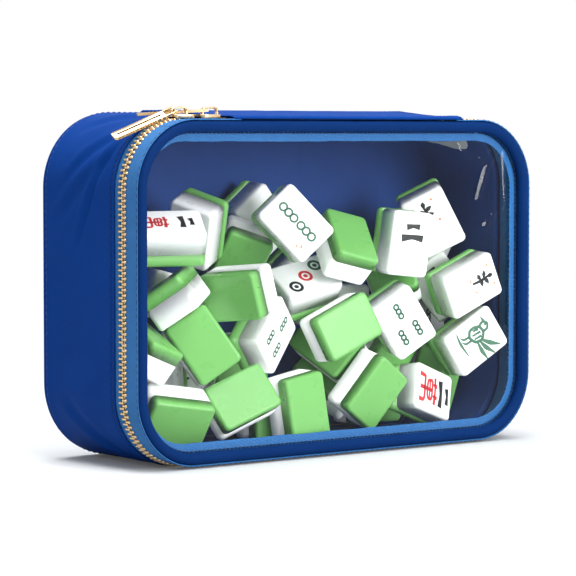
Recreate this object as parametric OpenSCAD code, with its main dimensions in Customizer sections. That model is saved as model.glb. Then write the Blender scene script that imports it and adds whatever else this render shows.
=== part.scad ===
// Soft zipped case for mahjong tiles, standing upright with its clear lid at the front.
// X runs across the front, Y from the lid to the back panel, and Z is up. The origin is
// at the middle of the footprint, on the surface that the case stands on.

/* [Case] */
// Width of the case
case_w = 251.6; // [220:0.2:280]
// Depth from the front of the piping to the back panel
case_d = 82; // [78:1:96]
// Height of the case at the lid
case_h = 166.4; // [150:0.2:185]
// Corner radius at the lid
corner_r = 34.8; // [30:0.2:36]
// Corner radius at the back panel
back_corner_r = 37; // [34:1:42]
// How far the top rises from the lid to the middle of the case
crown = 2.6; // [1:0.2:3.4]
// Width of the rounded edge between the side fabric and the back panel
back_edge = 3; // [1.5:0.5:3.5]

/* [Walls] */
// Thickness of the outer fabric
fabric_t = 0.7; // [0.5:0.05:0.7]
// Thickness of the foam in the walls
foam_t = 2.8; // [2:0.2:4]
// Thickness of the lining
lining_t = 0.6; // [0.4:0.1:0.8]
// Clearance between one layer of the wall and the next
ply_gap = 0.1; // [0.06:0.01:0.12]

/* [Lid] */
// Outer diameter of the piping
piping_d = 5.8; // [5:0.1:6.4]
// Diameter of the cord inside the piping
cord_d = 3.8; // [3:0.1:4.2]
// Thickness of the clear window
window_t = 0.5; // [0.3:0.1:0.8]
// Thickness of the binding on the inside of the window's seam
binding_t = 0.4; // [0.3:0.1:0.6]
// Width of the binding that shows inside the piping
binding_show = 4.4; // [3:0.2:8]

/* [Zip] */
// Thickness of the zip tape
tape_t = 0.6; // [0.4:0.1:0.7]
// How far the zip tape lies below the outline of the case
tape_sink = 0.8; // [0.8:0.1:1.2]
// Distance from the front of the piping to the middle of the zip
zip_back = 13; // [12.5:0.5:16]
// Width of the closed chain of teeth
chain_w = 6.2; // [5.8:0.1:6.4]
// Pitch of the teeth on one tape
tooth_pitch = 2.6; // [2.6:0.1:3.4]
// Width of one tooth along the tape
tooth_w = 1.15; // [0.9:0.05:1.15]
// Thickness of the teeth
tooth_t = 2.1; // [1.8:0.1:2.1]
// How far the teeth of the two sides reach past each other
tooth_mesh = 0.9; // [0.6:0.1:1.2]
// Distance from the middle of the zip to the hem of the side fabric
hem_back = 8; // [7:0.5:9]

/* [Sliders] */
// Length of a slider
slider_l = 12; // [12:0.2:13]
// Width of a slider at its nose
slider_w = 9.4; // [9.2:0.1:10]
// Thickness of a slider's plates
plate_t = 1.2; // [0.9:0.1:1.3]
// Width of the arch that holds the pull
arch_w = 2; // [1.6:0.1:2]
// Thickness of the arch
arch_t = 0.8; // [0.7:0.1:1]
// Height of the gap under the arch
arch_gap = 2.8; // [2.7:0.1:3]
// Distance from the left slider to the right one
slider_gap = 15.5; // [15.2:0.1:16]
// Distance from the front of the piping to the parked stretch of the lid's tape
park_front = 5.4; // [5.4:0.1:5.8]
// Length of a pull from its pin to its tip
pull_l = 33; // [26:1:35]
// Width of a pull
pull_w = 5.6; // [5.4:0.1:6]
// Thickness of a pull
pull_t = 1.4; // [1.1:0.1:1.4]
// Width of the long slot in a pull
slot_w = 1.5; // [1:0.1:2.5]
// Diameter of the pin at the end of a pull
pin_d = 1.3; // [1:0.1:1.3]

/* [Hinge band] */
// Room between the right slider and the left end of the band
slider_room = 1.5; // [1.5:0.5:9.5]
// How far the band stops short of the right corner
band_short = 13; // [7:1:31]
// Distance from the front of the piping to the seam of the band
band_seam = 4.1; // [4.1:0.1:4.6]
// Thickness of the band
band_t = 1; // [0.8:0.1:1.1]
// Distance from the middle of the zip to the fold that the lid turns about
fold_back = 4; // [3.5:0.5:5]

/* [Tiles] */
// Length of a tile
tile_l = 33; // [28:0.5:34]
// Width of a tile
tile_w = 24; // [20:0.5:25]
// Thickness of a tile
tile_t = 18.5; // [15:0.5:19]
// Thickness of a tile's coloured back
tile_back_t = 6.8; // [4:0.2:9]
// Radius of a tile's corners
tile_r = 2.6; // [1:0.2:4]
// Clearance between one tile and the next
tile_gap = 0.3; // [0.2:0.05:0.5]

/* [Hidden] */
$fn = 64;

blue = [0.06, 0.22, 0.55];
tape_blue = [0.25, 0.5, 0.8];
navy = [0.08, 0.12, 0.32];
gold = [0.85, 0.72, 0.45];
foam_grey = [0.8, 0.8, 0.82];
clear = [0.8, 0.9, 1, 0.3];
tile_green = [0.45, 0.75, 0.38];

front = -case_d / 2;                       // front of the piping
back = case_d / 2;                         // back panel
zip_y = front + zip_back;                  // middle of the zip
hem_y = zip_y + hem_back;                  // front edge of the side fabric
round_y = back - back_edge;                // the rounded edge of the back panel starts here
seam_y = round_y - 0.5;                    // seam of the back panel, just before that
mid_h = case_h / 2;
arc_x = case_w / 2 - corner_r;             // half of each straight run across
arc_z = mid_h - corner_r;                  // half of each straight run up
chain_in = tape_sink + tape_t / 2;         // middle of the tape, below the outline
chain_r = corner_r - chain_in;             // radius of the zip round a corner
chain_z = case_h - chain_in;               // height of the zip along the top
corner_l = chain_r * PI / 2;               // length of the zip round a corner
seam_gap = 0.05;                           // room between layers that are sewn together
turn_gap = 0.3;                            // room between the case and what moves with the lid

// ---- The outline of the lid ----

module outline(inset) {
    w = case_w - 2 * inset;
    h = case_h - 2 * inset;
    r = corner_r - inset;
    translate([0, mid_h]) {
        square([w - 2 * r, h], center = true);
        square([w, h - 2 * r], center = true);
        for (sx = [-1, 1], sz = [-1, 1])
            translate([sx * (w / 2 - r), sz * (h / 2 - r)])
                circle(r);
    }
}

module along_y(y0, y1) {
    translate([0, y1, 0])
        rotate([90, 0, 0])
            linear_extrude(y1 - y0)
                children();
}

module ring(y0, y1, outer_inset, inner_inset) {
    along_y(y0, y1)
        difference() {
            outline(outer_inset);
            outline(inner_inset);
        }
}

// Half length of side k of the outline and its distance from the middle.
// Side 0 is the top, 1 the left, 2 the bottom and 3 the right.
function half_run(k) = k % 2 == 0 ? arc_x : arc_z;
function reach(k) = k % 2 == 0 ? case_h / 2 : case_w / 2;

module facing_side(k) {
    translate([0, 0, mid_h])
        rotate([0, -90 * k, 0])
            children();
}

// Sweeps a profile round the outline: its x is the distance in from the outline, its y the depth
module sweep_round() {
    for (k = [0:3])
        facing_side(k) {
            translate([-half_run(k), 0, reach(k)])
                rotate([0, 90, 0])
                    linear_extrude(2 * half_run(k))
                        children();
            translate([half_run(k), 0, reach(k) - corner_r])
                rotate([90, 0, 0])
                    rotate_extrude(angle = 90)
                        translate([corner_r, 0])
                            rotate(180)
                                children();
        }
}

// ---- The soft body of the case ----

foam_in = fabric_t + ply_gap;
foam_end = foam_in + foam_t;
lining_in = foam_end + ply_gap;
room_in = lining_in + lining_t;
tape_end_y = hem_y + 2.6;                  // edge of the case's zip tape, under the hem
foam_y = tape_end_y + 0.8;                 // front edge of the foam

// Depth and height of the line along the middle of the top
crown_run = 16;                            // depth of the first stretch behind the hem
crown_end = 28;                            // the top is level from this far behind the hem
crown_slope = 0.55 * crown / crown_run;    // the first stretch rises a little over half way
crown_line = [
    [hem_y, case_h],
    [hem_y + crown_run, case_h + crown_slope * crown_run],
    [hem_y + crown_end, case_h + crown],
    [round_y, case_h + crown]
];
r_step = 0.5;                              // growth of the corners along each stretch

module slice(y, top, inset, r) {
    for (sx = [-1, 1], z = [inset + r, top - inset - r])
        translate([sx * (case_w / 2 - inset - r), y, z])
            rotate([90, 0, 0])
                cylinder(r = r, h = 0.01);
}

// The solid body of the case, drawn in from its surface by inset and open to the front by lead
module body_form(inset, lead = 0) {
    top = case_h + crown;
    edge = back_edge / 2;
    hull() {
        slice(hem_y - lead, case_h - crown_slope * lead, inset, corner_r - inset);
        for (k = [1:2])
            slice(crown_line[k][0], crown_line[k][1], inset, corner_r + r_step * k - inset);
        slice(round_y - inset, top, inset, back_corner_r - inset);
        slice(back - inset, top - edge, inset + edge, back_corner_r - inset - edge);
    }
}

module between_y(y0, y1) {
    intersection() {
        children();
        translate([-case_w, y0, -case_h])
            cube([2 * case_w, y1 - y0, 3 * case_h]);
    }
}

module shell(outer_inset, inner_inset) {
    difference() {
        body_form(outer_inset, 2);
        body_form(inner_inset, 4);
    }
}

module side_gusset() {
    color(blue)
        between_y(hem_y, seam_y)
            shell(0, fabric_t);
}

module back_panel() {
    color(blue)
        between_y(seam_y + seam_gap, back)
            shell(0, fabric_t);
}

module side_foam() {
    color(foam_grey)
        between_y(foam_y, back - foam_end - ply_gap)
            shell(foam_in, foam_end);
}

module back_foam() {
    color(foam_grey)
        between_y(back - foam_end, back)
            body_form(foam_in);
}

// The lining turns outwards over the front edge of the foam
module side_lining() {
    turn_y = foam_y - ply_gap - lining_t;
    color(navy)
        difference() {
            union() {
                between_y(turn_y, turn_y + lining_t)
                    body_form(tape_sink + tape_t + seam_gap, 2);
                between_y(turn_y, back - room_in - seam_gap)
                    body_form(lining_in, 2);
            }
            body_form(room_in, 4);
        }
}

module back_lining() {
    color(navy)
        between_y(back - room_in, back)
            body_form(lining_in);
}

// ---- The band that joins the lid to the case along the top ----

fold_y = zip_y + fold_back;                // the lid turns about this line
band_under = case_h + ply_gap;             // underside of the band at the fold
band_left = arc_x - slider_gap - slider_l / 2 - slider_room;
band_right = arc_x - band_short;
band_sew_y = front + band_seam;            // the band is sewn to the piping here
band_step = 0.5;                           // the band steps down this far to its seam

module across_band() {
    translate([-band_left, 0, 0])
        rotate([90, 0, 90])
            linear_extrude(band_left + band_right)
                children();
}

module hinge_band_rear() {
    lift = band_under - case_h;
    under = [for (p = crown_line) p + [0, lift]];
    over = [for (k = [3:-1:0]) crown_line[k] + [0, lift + band_t]];
    start = fold_y + turn_gap / 2;
    color(blue)
        across_band()
            polygon(concat([[start, band_under]], under, over, [[start, band_under + band_t]]));
}

module hinge_band_front() {
    end = fold_y - turn_gap / 2;
    seam_z = case_h - tape_sink - tape_t;
    lip = 0.6;                             // fall of the band to its front edge
    color(blue)
        across_band()
            polygon([
                [tape_front_y, seam_z + seam_gap],
                [tape_front_y, band_under + band_t - lip],
                [band_sew_y, band_under + band_t - turn_gap],
                [end, band_under + band_t],
                [end, band_under],
                [band_sew_y + band_step, band_under - turn_gap],
                [band_sew_y, seam_z + seam_gap]
            ]);
}

// ---- The lid ----

frame_in = tape_sink + tape_t + seam_gap;  // the piping starts this far in from the outline
piping_in = frame_in + piping_d / 2;
piping_y = front + piping_d / 2;
window_y = piping_y + cord_d / 2 + 0.3;    // the piping is sewn flat against the window here
tape_front_y = front + 1.1;                // front edge of the lid's zip tape

module window() {
    color(clear)
        along_y(window_y, window_y + window_t)
            outline(frame_in);
}

module window_binding() {
    start = window_y + window_t;
    color(tape_blue)
        ring(start, start + binding_t, frame_in, frame_in + piping_d + binding_show);
}

module piping_cover() {
    color(blue)
        sweep_round()
            difference() {
                intersection() {
                    translate([piping_in, piping_y])
                        circle(d = piping_d);
                    translate([0, window_y - case_d])
                        square([2 * piping_in, case_d]);
                }
                translate([piping_in, piping_y])
                    circle(d = cord_d + 2 * seam_gap);
            }
}

module piping_cord() {
    color("white")
        sweep_round()
            translate([piping_in, piping_y])
                circle(d = cord_d);
}

// ---- The zip ----

tuck = 4;                                  // how far the zip runs on under the band
park_angle = 26;                           // the lid's tape stays with the sliders up to here
park_x = arc_x + chain_r * sin(park_angle);
park_y = front + park_front;
edge_y = chain_w / 2;                      // edge of each tape, from the middle of the zip

// Straight stretches of the zip, from the band's left end round to its right end
zip_runs = [arc_x - band_left, 2 * arc_z, 2 * arc_x, 2 * arc_z, arc_x - band_right];
zip_l = zip_runs * [1, 1, 1, 1, 1] + 4 * corner_l;
left_s = zip_runs[0];                      // the left slider stands at the start of the corner
right_s = left_s - slider_gap;
park_s = left_s + chain_r * park_angle * PI / 180;

// Places a part on the zip, s along it, with x along the zip and z outwards
module on_zip(s, k = 0) {
    start = k == 0 ? -band_left : half_run(k);
    run = zip_runs[k];
    if (s <= run || k == 4)
        facing_side(k)
            translate([start - s, zip_y, reach(k) - chain_in])
                children();
    else if (s < run + corner_l)
        facing_side(k)
            translate([-half_run(k), zip_y, reach(k) - corner_r])
                rotate([0, -90 * (s - run) / corner_l, 0])
                    translate([0, 0, chain_r])
                        children();
    else
        on_zip(s - run - corner_l, k + 1)
            children();
}

module band_gap_box(y0, y1, short) {
    translate([-band_left + short, y0, mid_h])
        cube([band_left + band_right - 2 * short, y1 - y0, case_h]);
}

module parked_box(grow) {
    translate([-park_x - grow, park_y - grow, mid_h + arc_z])
        cube([park_x - band_left + tuck + 2 * grow, case_d, case_h]);
}

module lid_side_tape() {
    difference() {
        ring(tape_front_y, zip_y - edge_y, tape_sink, tape_sink + tape_t);
        band_gap_box(front, band_sew_y + band_step, -seam_gap);
        band_gap_box(front, zip_y, tuck);
    }
}

module lid_tape() {
    color(tape_blue)
        difference() {
            lid_side_tape();
            parked_box(turn_gap);
        }
}

module parked_tape() {
    color(tape_blue)
        intersection() {
            lid_side_tape();
            parked_box(0);
        }
}

module case_tape() {
    color(tape_blue)
        difference() {
            ring(zip_y + edge_y, tape_end_y, tape_sink, tape_sink + tape_t);
            band_gap_box(zip_y, hem_y + case_d, tuck);
        }
}

// One tooth, clamped to the tape on the lid's side (-1) or the case's side (1)
module tooth(side) {
    length = edge_y + tooth_mesh / 2;
    translate([0, side * (edge_y - length / 2), 0])
        cube([tooth_w, length, tooth_t], center = true);
}

// Places of the teeth along one side, without those that stand apart between the slider noses
function tooth_places(side) = [
    for (s = [tooth_w + (side < 0 ? tooth_pitch / 2 : 0):tooth_pitch:zip_l])
        if (s < right_s - tooth_w || s > left_s + tooth_w) s
];

module teeth(side, s0, s1) {
    for (s = tooth_places(side))
        if (s >= s0 && s < s1)
            on_zip(s)
                tooth(side);
}

module case_teeth() {
    color(gold)
        teeth(1, 0, zip_l);
}

module lid_teeth() {
    color(gold)
        teeth(-1, park_s, zip_l);
}

module parked_teeth() {
    color(gold)
        teeth(-1, 0, park_s);
}

// A stop closes each end of the chain under the band
module end_stop(side) {
    stop_l = 1.6;
    apart = 0.4;                           // from the middle of the zip
    stop_t = tooth_t - 0.2;
    length = edge_y - apart;
    translate([0, side * (edge_y - length / 2), 0])
        cube([stop_l, length, stop_t], center = true);
}

module case_end_stops() {
    color(gold) {
        on_zip(-tuck / 2) {
            end_stop(1);
            end_stop(-1);
        }
        on_zip(zip_l + tuck / 2)
            end_stop(1);
    }
}

module lid_end_stop() {
    color(gold)
        on_zip(zip_l + tuck / 2)
            end_stop(-1);
}

// ---- Sliders and pulls ----

run_gap = 0.15;                            // clearance of the slider round tape and teeth
sink = 0.1;                                // how far joined parts of a slider reach into each other
bow = slider_l * slider_l / 8 / chain_r;   // how far the zip bows under a slider in a corner
plate_z = tooth_t / 2 + run_gap;           // inner face of each plate
arch_z = plate_z + plate_t;                // top of the upper plate
arch_x0 = -slider_l / 2;                   // tail end of the arch
arch_x1 = slider_l / 2 - 2.7;              // nose end of the arch
pin_z = arch_z + arch_gap - pin_d / 2 - 0.25;
tail_pin_x = arch_x0 + arch_t + pin_d / 2 + 0.4;
nose_pin_x = arch_x1 - arch_t - pin_d / 2 - 0.85;
post_r = 1.1;                              // the post parts the two rows of teeth
post_back = 2.6;                           // from the post to the tip of the nose

module slider_shape() {
    l = slider_l / 2;
    tail = slider_w / 2 - 0.5;
    nose = slider_w / 2;
    cut = 1.2;                             // cut corners of the tail
    nose_cut = 1.6;                        // cut corners of the nose
    polygon([
        [-l, cut - tail], [-l, tail - cut], [cut - l, tail],
        [l / 3, nose], [l - nose_cut, nose], [l, nose - nose_cut],
        [l, nose_cut - nose], [l - nose_cut, -nose], [l / 3, -nose],
        [cut - l, -tail]
    ]);
}

// One half of a slider, with extra room for the tape and the teeth
module plate_with_flanges(room) {
    translate([0, 0, plate_z + room])
        linear_extrude(plate_t)
            slider_shape();
    slot = tape_t / 2 + run_gap;
    translate([0, 0, slot + room])
        linear_extrude(plate_z - slot + sink)
            difference() {
                slider_shape();
                square([2 * slider_l, chain_w + 2 * run_gap], center = true);
            }
}

module arch_shape(x0, x1, h, r) {
    translate([x0, 0])
        square([x1 - x0, h - r]);
    translate([x0 + r, 0])
        square([x1 - x0 - 2 * r, h]);
    for (x = [x0 + r, x1 - r])
        translate([x, h - r])
            circle(r);
}

module arch() {
    inner_r = 1.2;
    translate([0, arch_w / 2, arch_z])
        rotate([90, 0, 0])
            linear_extrude(arch_w)
                difference() {
                    arch_shape(arch_x0, arch_x1, arch_gap + arch_t, inner_r + arch_t);
                    arch_shape(arch_x0 + arch_t, arch_x1 - arch_t, arch_gap, inner_r);
                }
}

// A slider with its nose, where the teeth come in apart, towards +x
module slider() {
    plate_with_flanges(0);
    mirror([0, 0, 1])
        plate_with_flanges(bow);
    translate([slider_l / 2 - post_back, 0, -plate_z - bow - sink])
        cylinder(r = post_r, h = 2 * plate_z + bow + 2 * sink);
    arch();
}

module slider_left() {
    color(gold)
        on_zip(left_s)
            slider();
}

module slider_right() {
    color(gold)
        on_zip(right_s)
            rotate(180)
                slider();
}

eye_l = 5.2;                               // length of the eye round the arch
eye_w = arch_w + 2.2;

// A pull that lies along +x, with the middle of its pin at the origin
module pull() {
    chamfer = 1;                           // cut corners of the tip
    half = pull_w / 2;
    heel = pin_d / 2 + 0.3;                // the eye ends this far behind the pin
    web = 2;                               // metal at each end of the slot
    translate([0, 0, -pull_t / 2])
        linear_extrude(pull_t)
            difference() {
                polygon([
                    [-heel, -half], [-heel, half], [pull_l - chamfer, half],
                    [pull_l, half - chamfer], [pull_l, chamfer - half],
                    [pull_l - chamfer, -half]
                ]);
                translate([-2 * heel, -eye_w / 2])
                    square([2 * heel + eye_l, eye_w]);
                translate([eye_l + web, -slot_w / 2])
                    square([pull_l - eye_l - 2 * web, slot_w]);
            }
    rotate([90, 0, 0])
        cylinder(d = pin_d, h = (pull_w + eye_w) / 2, center = true);
}

left_dip = 25;                             // the left pull hangs over the corner
left_yaw = 15;                             // and points this far towards the front
right_dip = 3.4;                           // the right pull lies along the top
right_yaw = 28;

module hung_pull(pin_x, dip, yaw) {
    translate([pin_x, 0, pin_z])
        rotate([0, 0, 180 - yaw])
            rotate([0, dip, 0])
                pull();
}

module pull_left() {
    color(gold)
        on_zip(left_s)
            hung_pull(tail_pin_x, left_dip, left_yaw);
}

module pull_right() {
    color(gold)
        on_zip(right_s)
            hung_pull(-nose_pin_x, right_dip, right_yaw);
}

// ---- The tiles ----

tile_front = window_y + window_t + binding_t + tile_gap;
tile_half = [tile_l, tile_w, tile_t] / 2;
sight = 38;                                // the heap is laid out as seen from this far to the left
room_y = back - room_in - tile_gap;        // the tiles end here
room_r = back_corner_r - room_in - tile_gap;
far = 10 * case_w;

// The tiles, from the front of the heap to its back. Each has its place across, in percent of
// half the width, its height, in percent of the case's height, 1 for its white face towards
// the window or -1 for its coloured back, its spin, its turn and its lean in degrees, and its suit.
tile_rows = [
    [-59, 34, -1, 35, 45, -55, 0],
    [-47, 14, -1, -80, -14, 30, 1],
    [-48.5, 65, 1, 88, -28, -62, 1],
    [-46, 48, 1, 75, 55, 55, 2],
    [-36.5, 33.5, -1, -34, -27, -7, 3],
    [-22, 16.5, -1, 65, -22, -23, 0],
    [-22, 48.5, -1, 85, -70, 15, 1],
    [-53.5, 25, 1, -10, -56, -14, 3],
    [-38.5, 67, 1, 20, -68, 22, 2],
    [1, 14, -1, -10, 0, 0, 2],
    [-49.5, 46.5, 1, -75, -5, 5, 3],
    [-13, 35.5, 1, 48, 23, 0, 0],
    [-1, 68.5, 1, -43, -24, -4, 0],
    [-43.5, 19.5, 1, 14, -50, -20, 3],
    [-9, 11, -1, 90, 0, 0, 1],
    [18.5, 37, -1, 65, -10, -5, 2],
    [-22, 58.5, -1, 22, -36, 30, 3],
    [20, 61, -1, 20, 5, -45, 0],
    [29.5, 17.5, -1, 36, -1, 13, 1],
    [3, 48, 1, 70, -20, -50, 2],
    [-25, 27, -1, 90, 0, 0, 2],
    [-16, 69, 1, -40, 0, 5, 3],
    [42, 38.5, 1, -35, -15, 10, 0],
    [43.5, 62, 1, 6, -8, 4, 1],
    [-9, 11, -1, -90, -5, -10, 1],
    [14.5, 29.5, -1, -56, -56, -22, 2],
    [51.5, 15, 1, -71, 17, -7, 1],
    [-1, 48, 1, -40, 0, 5, 3],
    [14.5, 18.5, -1, -48, -32, -39, 0],
    [70, 48.5, 1, 65, -5, 5, 1],
    [56.5, 69, 1, -28, -32, 16, 1],
    [39.5, 51.5, -1, -24, -50, -30, 2],
    [72, 30.5, 1, 58, -10, -3, 3],
    [40, 30, -1, 40, 5, 0, 3],
    [20, 38, 1, 0, 0, 0, 0],
    [59, 18.5, -1, 14, -34, 6, 1],
    [60.5, 48, 1, -38, -28, 12, 1],
    [31, 11, -1, 90, 0, 0, 2],
    [52.5, 61, 1, -70, -10, 15, 3],
    [53, 32, 1, 0, 0, 0, 0]
];

function about_x(a) = [[1, 0, 0], [0, cos(a), -sin(a)], [0, sin(a), cos(a)]];
function about_y(a) = [[cos(a), 0, sin(a)], [0, 1, 0], [-sin(a), 0, cos(a)]];
function about_z(a) = [[cos(a), -sin(a), 0], [sin(a), cos(a), 0], [0, 0, 1]];

corner_signs = [for (i = [-1, 1], j = [-1, 1], k = [-1, 1]) [i, j, k]];
tile_edges = [
    for (a = [0:7], b = [0:7])
        if (a < b && norm(corner_signs[a] - corner_signs[b]) < 2.1) [a, b]
];

// A tile at depth 0 along the line of sight: middle, three directions, corners and row
function tile_at(row) =
    let (
        m = about_z(sight + row[4]) * about_x(row[5]) * about_y(row[3]),
        axes = [m * [0, 0, 1], m * [row[2], 0, 0], m * [0, -row[2], 0]],
        middle = [row[0] / 100 * case_w / 2, 0, row[1] / 100 * case_h]
    )
    [middle, axes, tile_corners(middle, axes), row];

function tile_corners(middle, axes) = [
    for (c = corner_signs)
        middle + c[0] * tile_half[0] * axes[0] + c[1] * tile_half[1] * axes[1]
            + c[2] * tile_half[2] * axes[2]
];

function moved_back(tile, depth) =
    let (by = [0, depth, 0])
    [tile[0] + by, tile[1], [for (c = tile[2]) c + by], tile[3]];

// Depths at which the line of sight through a point enters and leaves a tile, if it meets it
function span(tile, point) =
    let (
        d = [point[0] - tile[0][0], 0, point[2] - tile[0][2]],
        cuts = [
            for (k = [0:2])
                let (slope = tile[1][k][1], off = d * tile[1][k], h = tile_half[k])
                abs(slope) > 1e-6
                    ? [(-h * sign(slope) - off) / slope, (h * sign(slope) - off) / slope]
                    : abs(off) > h ? [far, -far] : [-far, far]
        ],
        enter = max([for (c = cuts) c[0]]),
        leave = min([for (c = cuts) c[1]])
    )
    enter > leave ? undef : [tile[0][1] + enter, tile[0][1] + leave];

// How far back the edge pq has to move to pass behind the edge uv, where they cross in the view
function edge_depth(p, q, u, v) =
    let (r = q - p, t = v - u, w = u - p, det = r[0] * t[2] - r[2] * t[0])
    abs(det) < 1e-9 ? -far
        : let (a = (w[0] * t[2] - w[2] * t[0]) / det, b = (w[0] * r[2] - w[2] * r[0]) / det)
          a < 0 || a > 1 || b < 0 || b > 1 ? -far : u[1] + b * t[1] - p[1] - a * r[1];

// Depth at which a tile lies just behind another one
function behind(tile, other) = max(concat(
    [-far],
    [for (c = tile[2]) let (s = span(other, c)) if (s != undef) s[1] - c[1]],
    [for (c = other[2]) let (s = span(tile, c)) if (s != undef) c[1] - s[0]],
    [
        for (e = tile_edges, f = tile_edges)
            edge_depth(tile[2][e[0]], tile[2][e[1]], other[2][f[0]], other[2][f[1]])
    ]
));

function near(tile, other) =
    norm([tile[0][0] - other[0][0], tile[0][2] - other[0][2]]) < 2 * norm(tile_half);

// Depth at which a tile's foremost corner stands behind the window
function window_depth(tile) =
    max([for (c = tile[2]) (tile_front + sin(sight) * c[0]) / cos(sight) - c[1]]);

function in_room(point) =
    let (
        x = abs(cos(sight) * point[0] + sin(sight) * point[1]),
        y = cos(sight) * point[1] - sin(sight) * point[0],
        z = abs(point[2] - mid_h),
        dx = x - case_w / 2 + back_corner_r,
        dz = z - mid_h + back_corner_r
    )
    y < room_y && x < case_w / 2 - room_in - tile_gap && z < mid_h - room_in - tile_gap
        && (dx < 0 || dz < 0 || norm([dx, dz]) < room_r);

// Puts the tiles in one by one, and leaves out any that finds no room
function settled(k = 0, done = []) =
    k == len(tile_rows) ? done
        : let (
            tile = tile_at(tile_rows[k]),
            depth = max(concat(
                [window_depth(tile)],
                [for (other = done) if (near(tile, other)) behind(tile, other) + tile_gap]
            )),
            placed = moved_back(tile, depth),
            fits = len([for (c = placed[2]) if (!in_room(c)) 1]) == 0
        )
        settled(k + 1, fits ? concat(done, [placed]) : done);

module tile_outline() {
    square([tile_w - 2 * tile_r, tile_l], center = true);
    square([tile_w, tile_l - 2 * tile_r], center = true);
    for (sx = [-1, 1], sz = [-1, 1])
        translate([sx * (tile_w / 2 - tile_r), sz * (tile_l / 2 - tile_r)])
            circle(tile_r, $fn = 24);
}

// The layer between two depths, counted from the white face, of all the tiles of one suit
module tile_layer(suit, from, to) {
    for (tile = settled())
        if (tile[3][6] == suit)
            rotate([0, 0, -sight])
                translate(tile[0])
                    rotate([0, 0, sight + tile[3][4]])
                        rotate([tile[3][5], 0, 0])
                            rotate([0, tile[3][3], 0])
                                rotate([0, 0, tile[3][2] > 0 ? 0 : 180])
                                    along_y(from - tile_t / 2, to - tile_t / 2)
                                        tile_outline();
}

module tile_face(suit) {
    color("ivory")
        tile_layer(suit, 0, tile_t - tile_back_t - seam_gap);
}

module tile_back(suit) {
    color(tile_green)
        tile_layer(suit, tile_t - tile_back_t, tile_t);
}

side_gusset();
back_panel();
side_foam();
back_foam();
side_lining();
back_lining();
hinge_band_rear();
hinge_band_front();
window();
window_binding();
piping_cover();
piping_cord();
lid_tape();
lid_teeth();
case_tape();
case_teeth();
parked_tape();
parked_teeth();
case_end_stops();
lid_end_stop();
slider_left();
slider_right();
pull_left();
pull_right();
tile_face(0);  // tile_faces_bamboo
tile_face(1);  // tile_faces_character
tile_face(2);  // tile_faces_dot
tile_face(3);  // tile_faces_bird
tile_back(0);  // tile_backs_bamboo
tile_back(1);  // tile_backs_character
tile_back(2);  // tile_backs_dot
tile_back(3);  // tile_backs_bird
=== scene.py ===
"""Look of the soft mahjong case: fabric, zip, clear lid and the heap of tiles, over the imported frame.

Lengths are in millimetres until a mesh is made, and the frame is the CAD model's: X to the
right across the lid, Y from the lid to the back panel, Z up.
"""
import math

import bmesh
import bpy
import numpy as np
from mathutils import Matrix, Vector, noise


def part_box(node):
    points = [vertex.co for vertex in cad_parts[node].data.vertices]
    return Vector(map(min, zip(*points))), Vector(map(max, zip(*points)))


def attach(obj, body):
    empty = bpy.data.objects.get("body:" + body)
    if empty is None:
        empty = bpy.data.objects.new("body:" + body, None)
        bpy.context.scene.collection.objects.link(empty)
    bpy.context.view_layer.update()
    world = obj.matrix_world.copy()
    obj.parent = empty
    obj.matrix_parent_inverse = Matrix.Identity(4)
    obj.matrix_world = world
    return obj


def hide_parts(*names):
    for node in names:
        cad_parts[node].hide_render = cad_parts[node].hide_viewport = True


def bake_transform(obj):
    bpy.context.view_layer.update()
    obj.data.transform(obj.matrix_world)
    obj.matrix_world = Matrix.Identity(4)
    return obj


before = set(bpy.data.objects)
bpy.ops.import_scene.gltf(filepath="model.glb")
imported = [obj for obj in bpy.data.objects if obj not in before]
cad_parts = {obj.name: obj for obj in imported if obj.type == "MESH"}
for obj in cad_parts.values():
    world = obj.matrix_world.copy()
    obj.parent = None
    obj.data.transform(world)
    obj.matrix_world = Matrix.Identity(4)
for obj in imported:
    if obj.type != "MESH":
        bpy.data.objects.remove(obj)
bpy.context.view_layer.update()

MM = 0.001


def box_mm(node):
    lo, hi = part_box(node)
    return np.array(lo) / MM, np.array(hi) / MM


# ---- Sizes, from the frame where a node shows them ----

SIDE_LO, SIDE_HI = box_mm("side_gusset")
BINDING_LO, BINDING_HI = box_mm("window_binding")
PIPING_LO, PIPING_HI = box_mm("piping_cover")
LID_TAPE_LO, LID_TAPE_HI = box_mm("lid_tape")
CASE_TAPE_LO, CASE_TAPE_HI = box_mm("case_tape")
PARKED_LO, PARKED_HI = box_mm("parked_tape")
BAND_LO, BAND_HI = box_mm("hinge_band_rear")
FOAM_LO, FOAM_HI = box_mm("side_foam")
LINING_LO, LINING_HI = box_mm("side_lining")
BACK_Y = box_mm("back_panel")[1][1]  # the case's rear face
# The front faces of four more nodes
WINDOW_Y = box_mm("window")[0][1]
BAND_FRONT_Y = box_mm("hinge_band_front")[0][1]
BACK_FOAM_Y = box_mm("back_foam")[0][1]
BACK_LINING_Y = box_mm("back_lining")[0][1]

HALF_W = SIDE_HI[0]
TAPE_SINK = 0.8  # the zip tape lies this far below the outline
TAPE_T = 0.6
LID_H = LID_TAPE_HI[2] + TAPE_SINK
MID_H = LID_H / 2
CROWN = SIDE_HI[2] - LID_H
TOP_H = LID_H + CROWN
CORNER_R = 34.8
BACK_CORNER_R = 37.0
ARC_X = HALF_W - CORNER_R
ARC_Z = MID_H - CORNER_R
HEM_Y = SIDE_LO[1]
SEAM_Y = SIDE_HI[1]
ROOM_IN = 4.3  # inner face of the lining, in from the outline
ZIP_Y = (LID_TAPE_HI[1] + CASE_TAPE_LO[1]) / 2
CHAIN_IN = TAPE_SINK + TAPE_T / 2
CHAIN_R = CORNER_R - CHAIN_IN
CORNER_L = CHAIN_R * math.pi / 2
FRAME_IN = TAPE_SINK + TAPE_T + 0.05  # the lid's frame lies just under the tape
PIPING_CUT = 0.7  # the CAD solid's round is cut off by this much at its back
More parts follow.
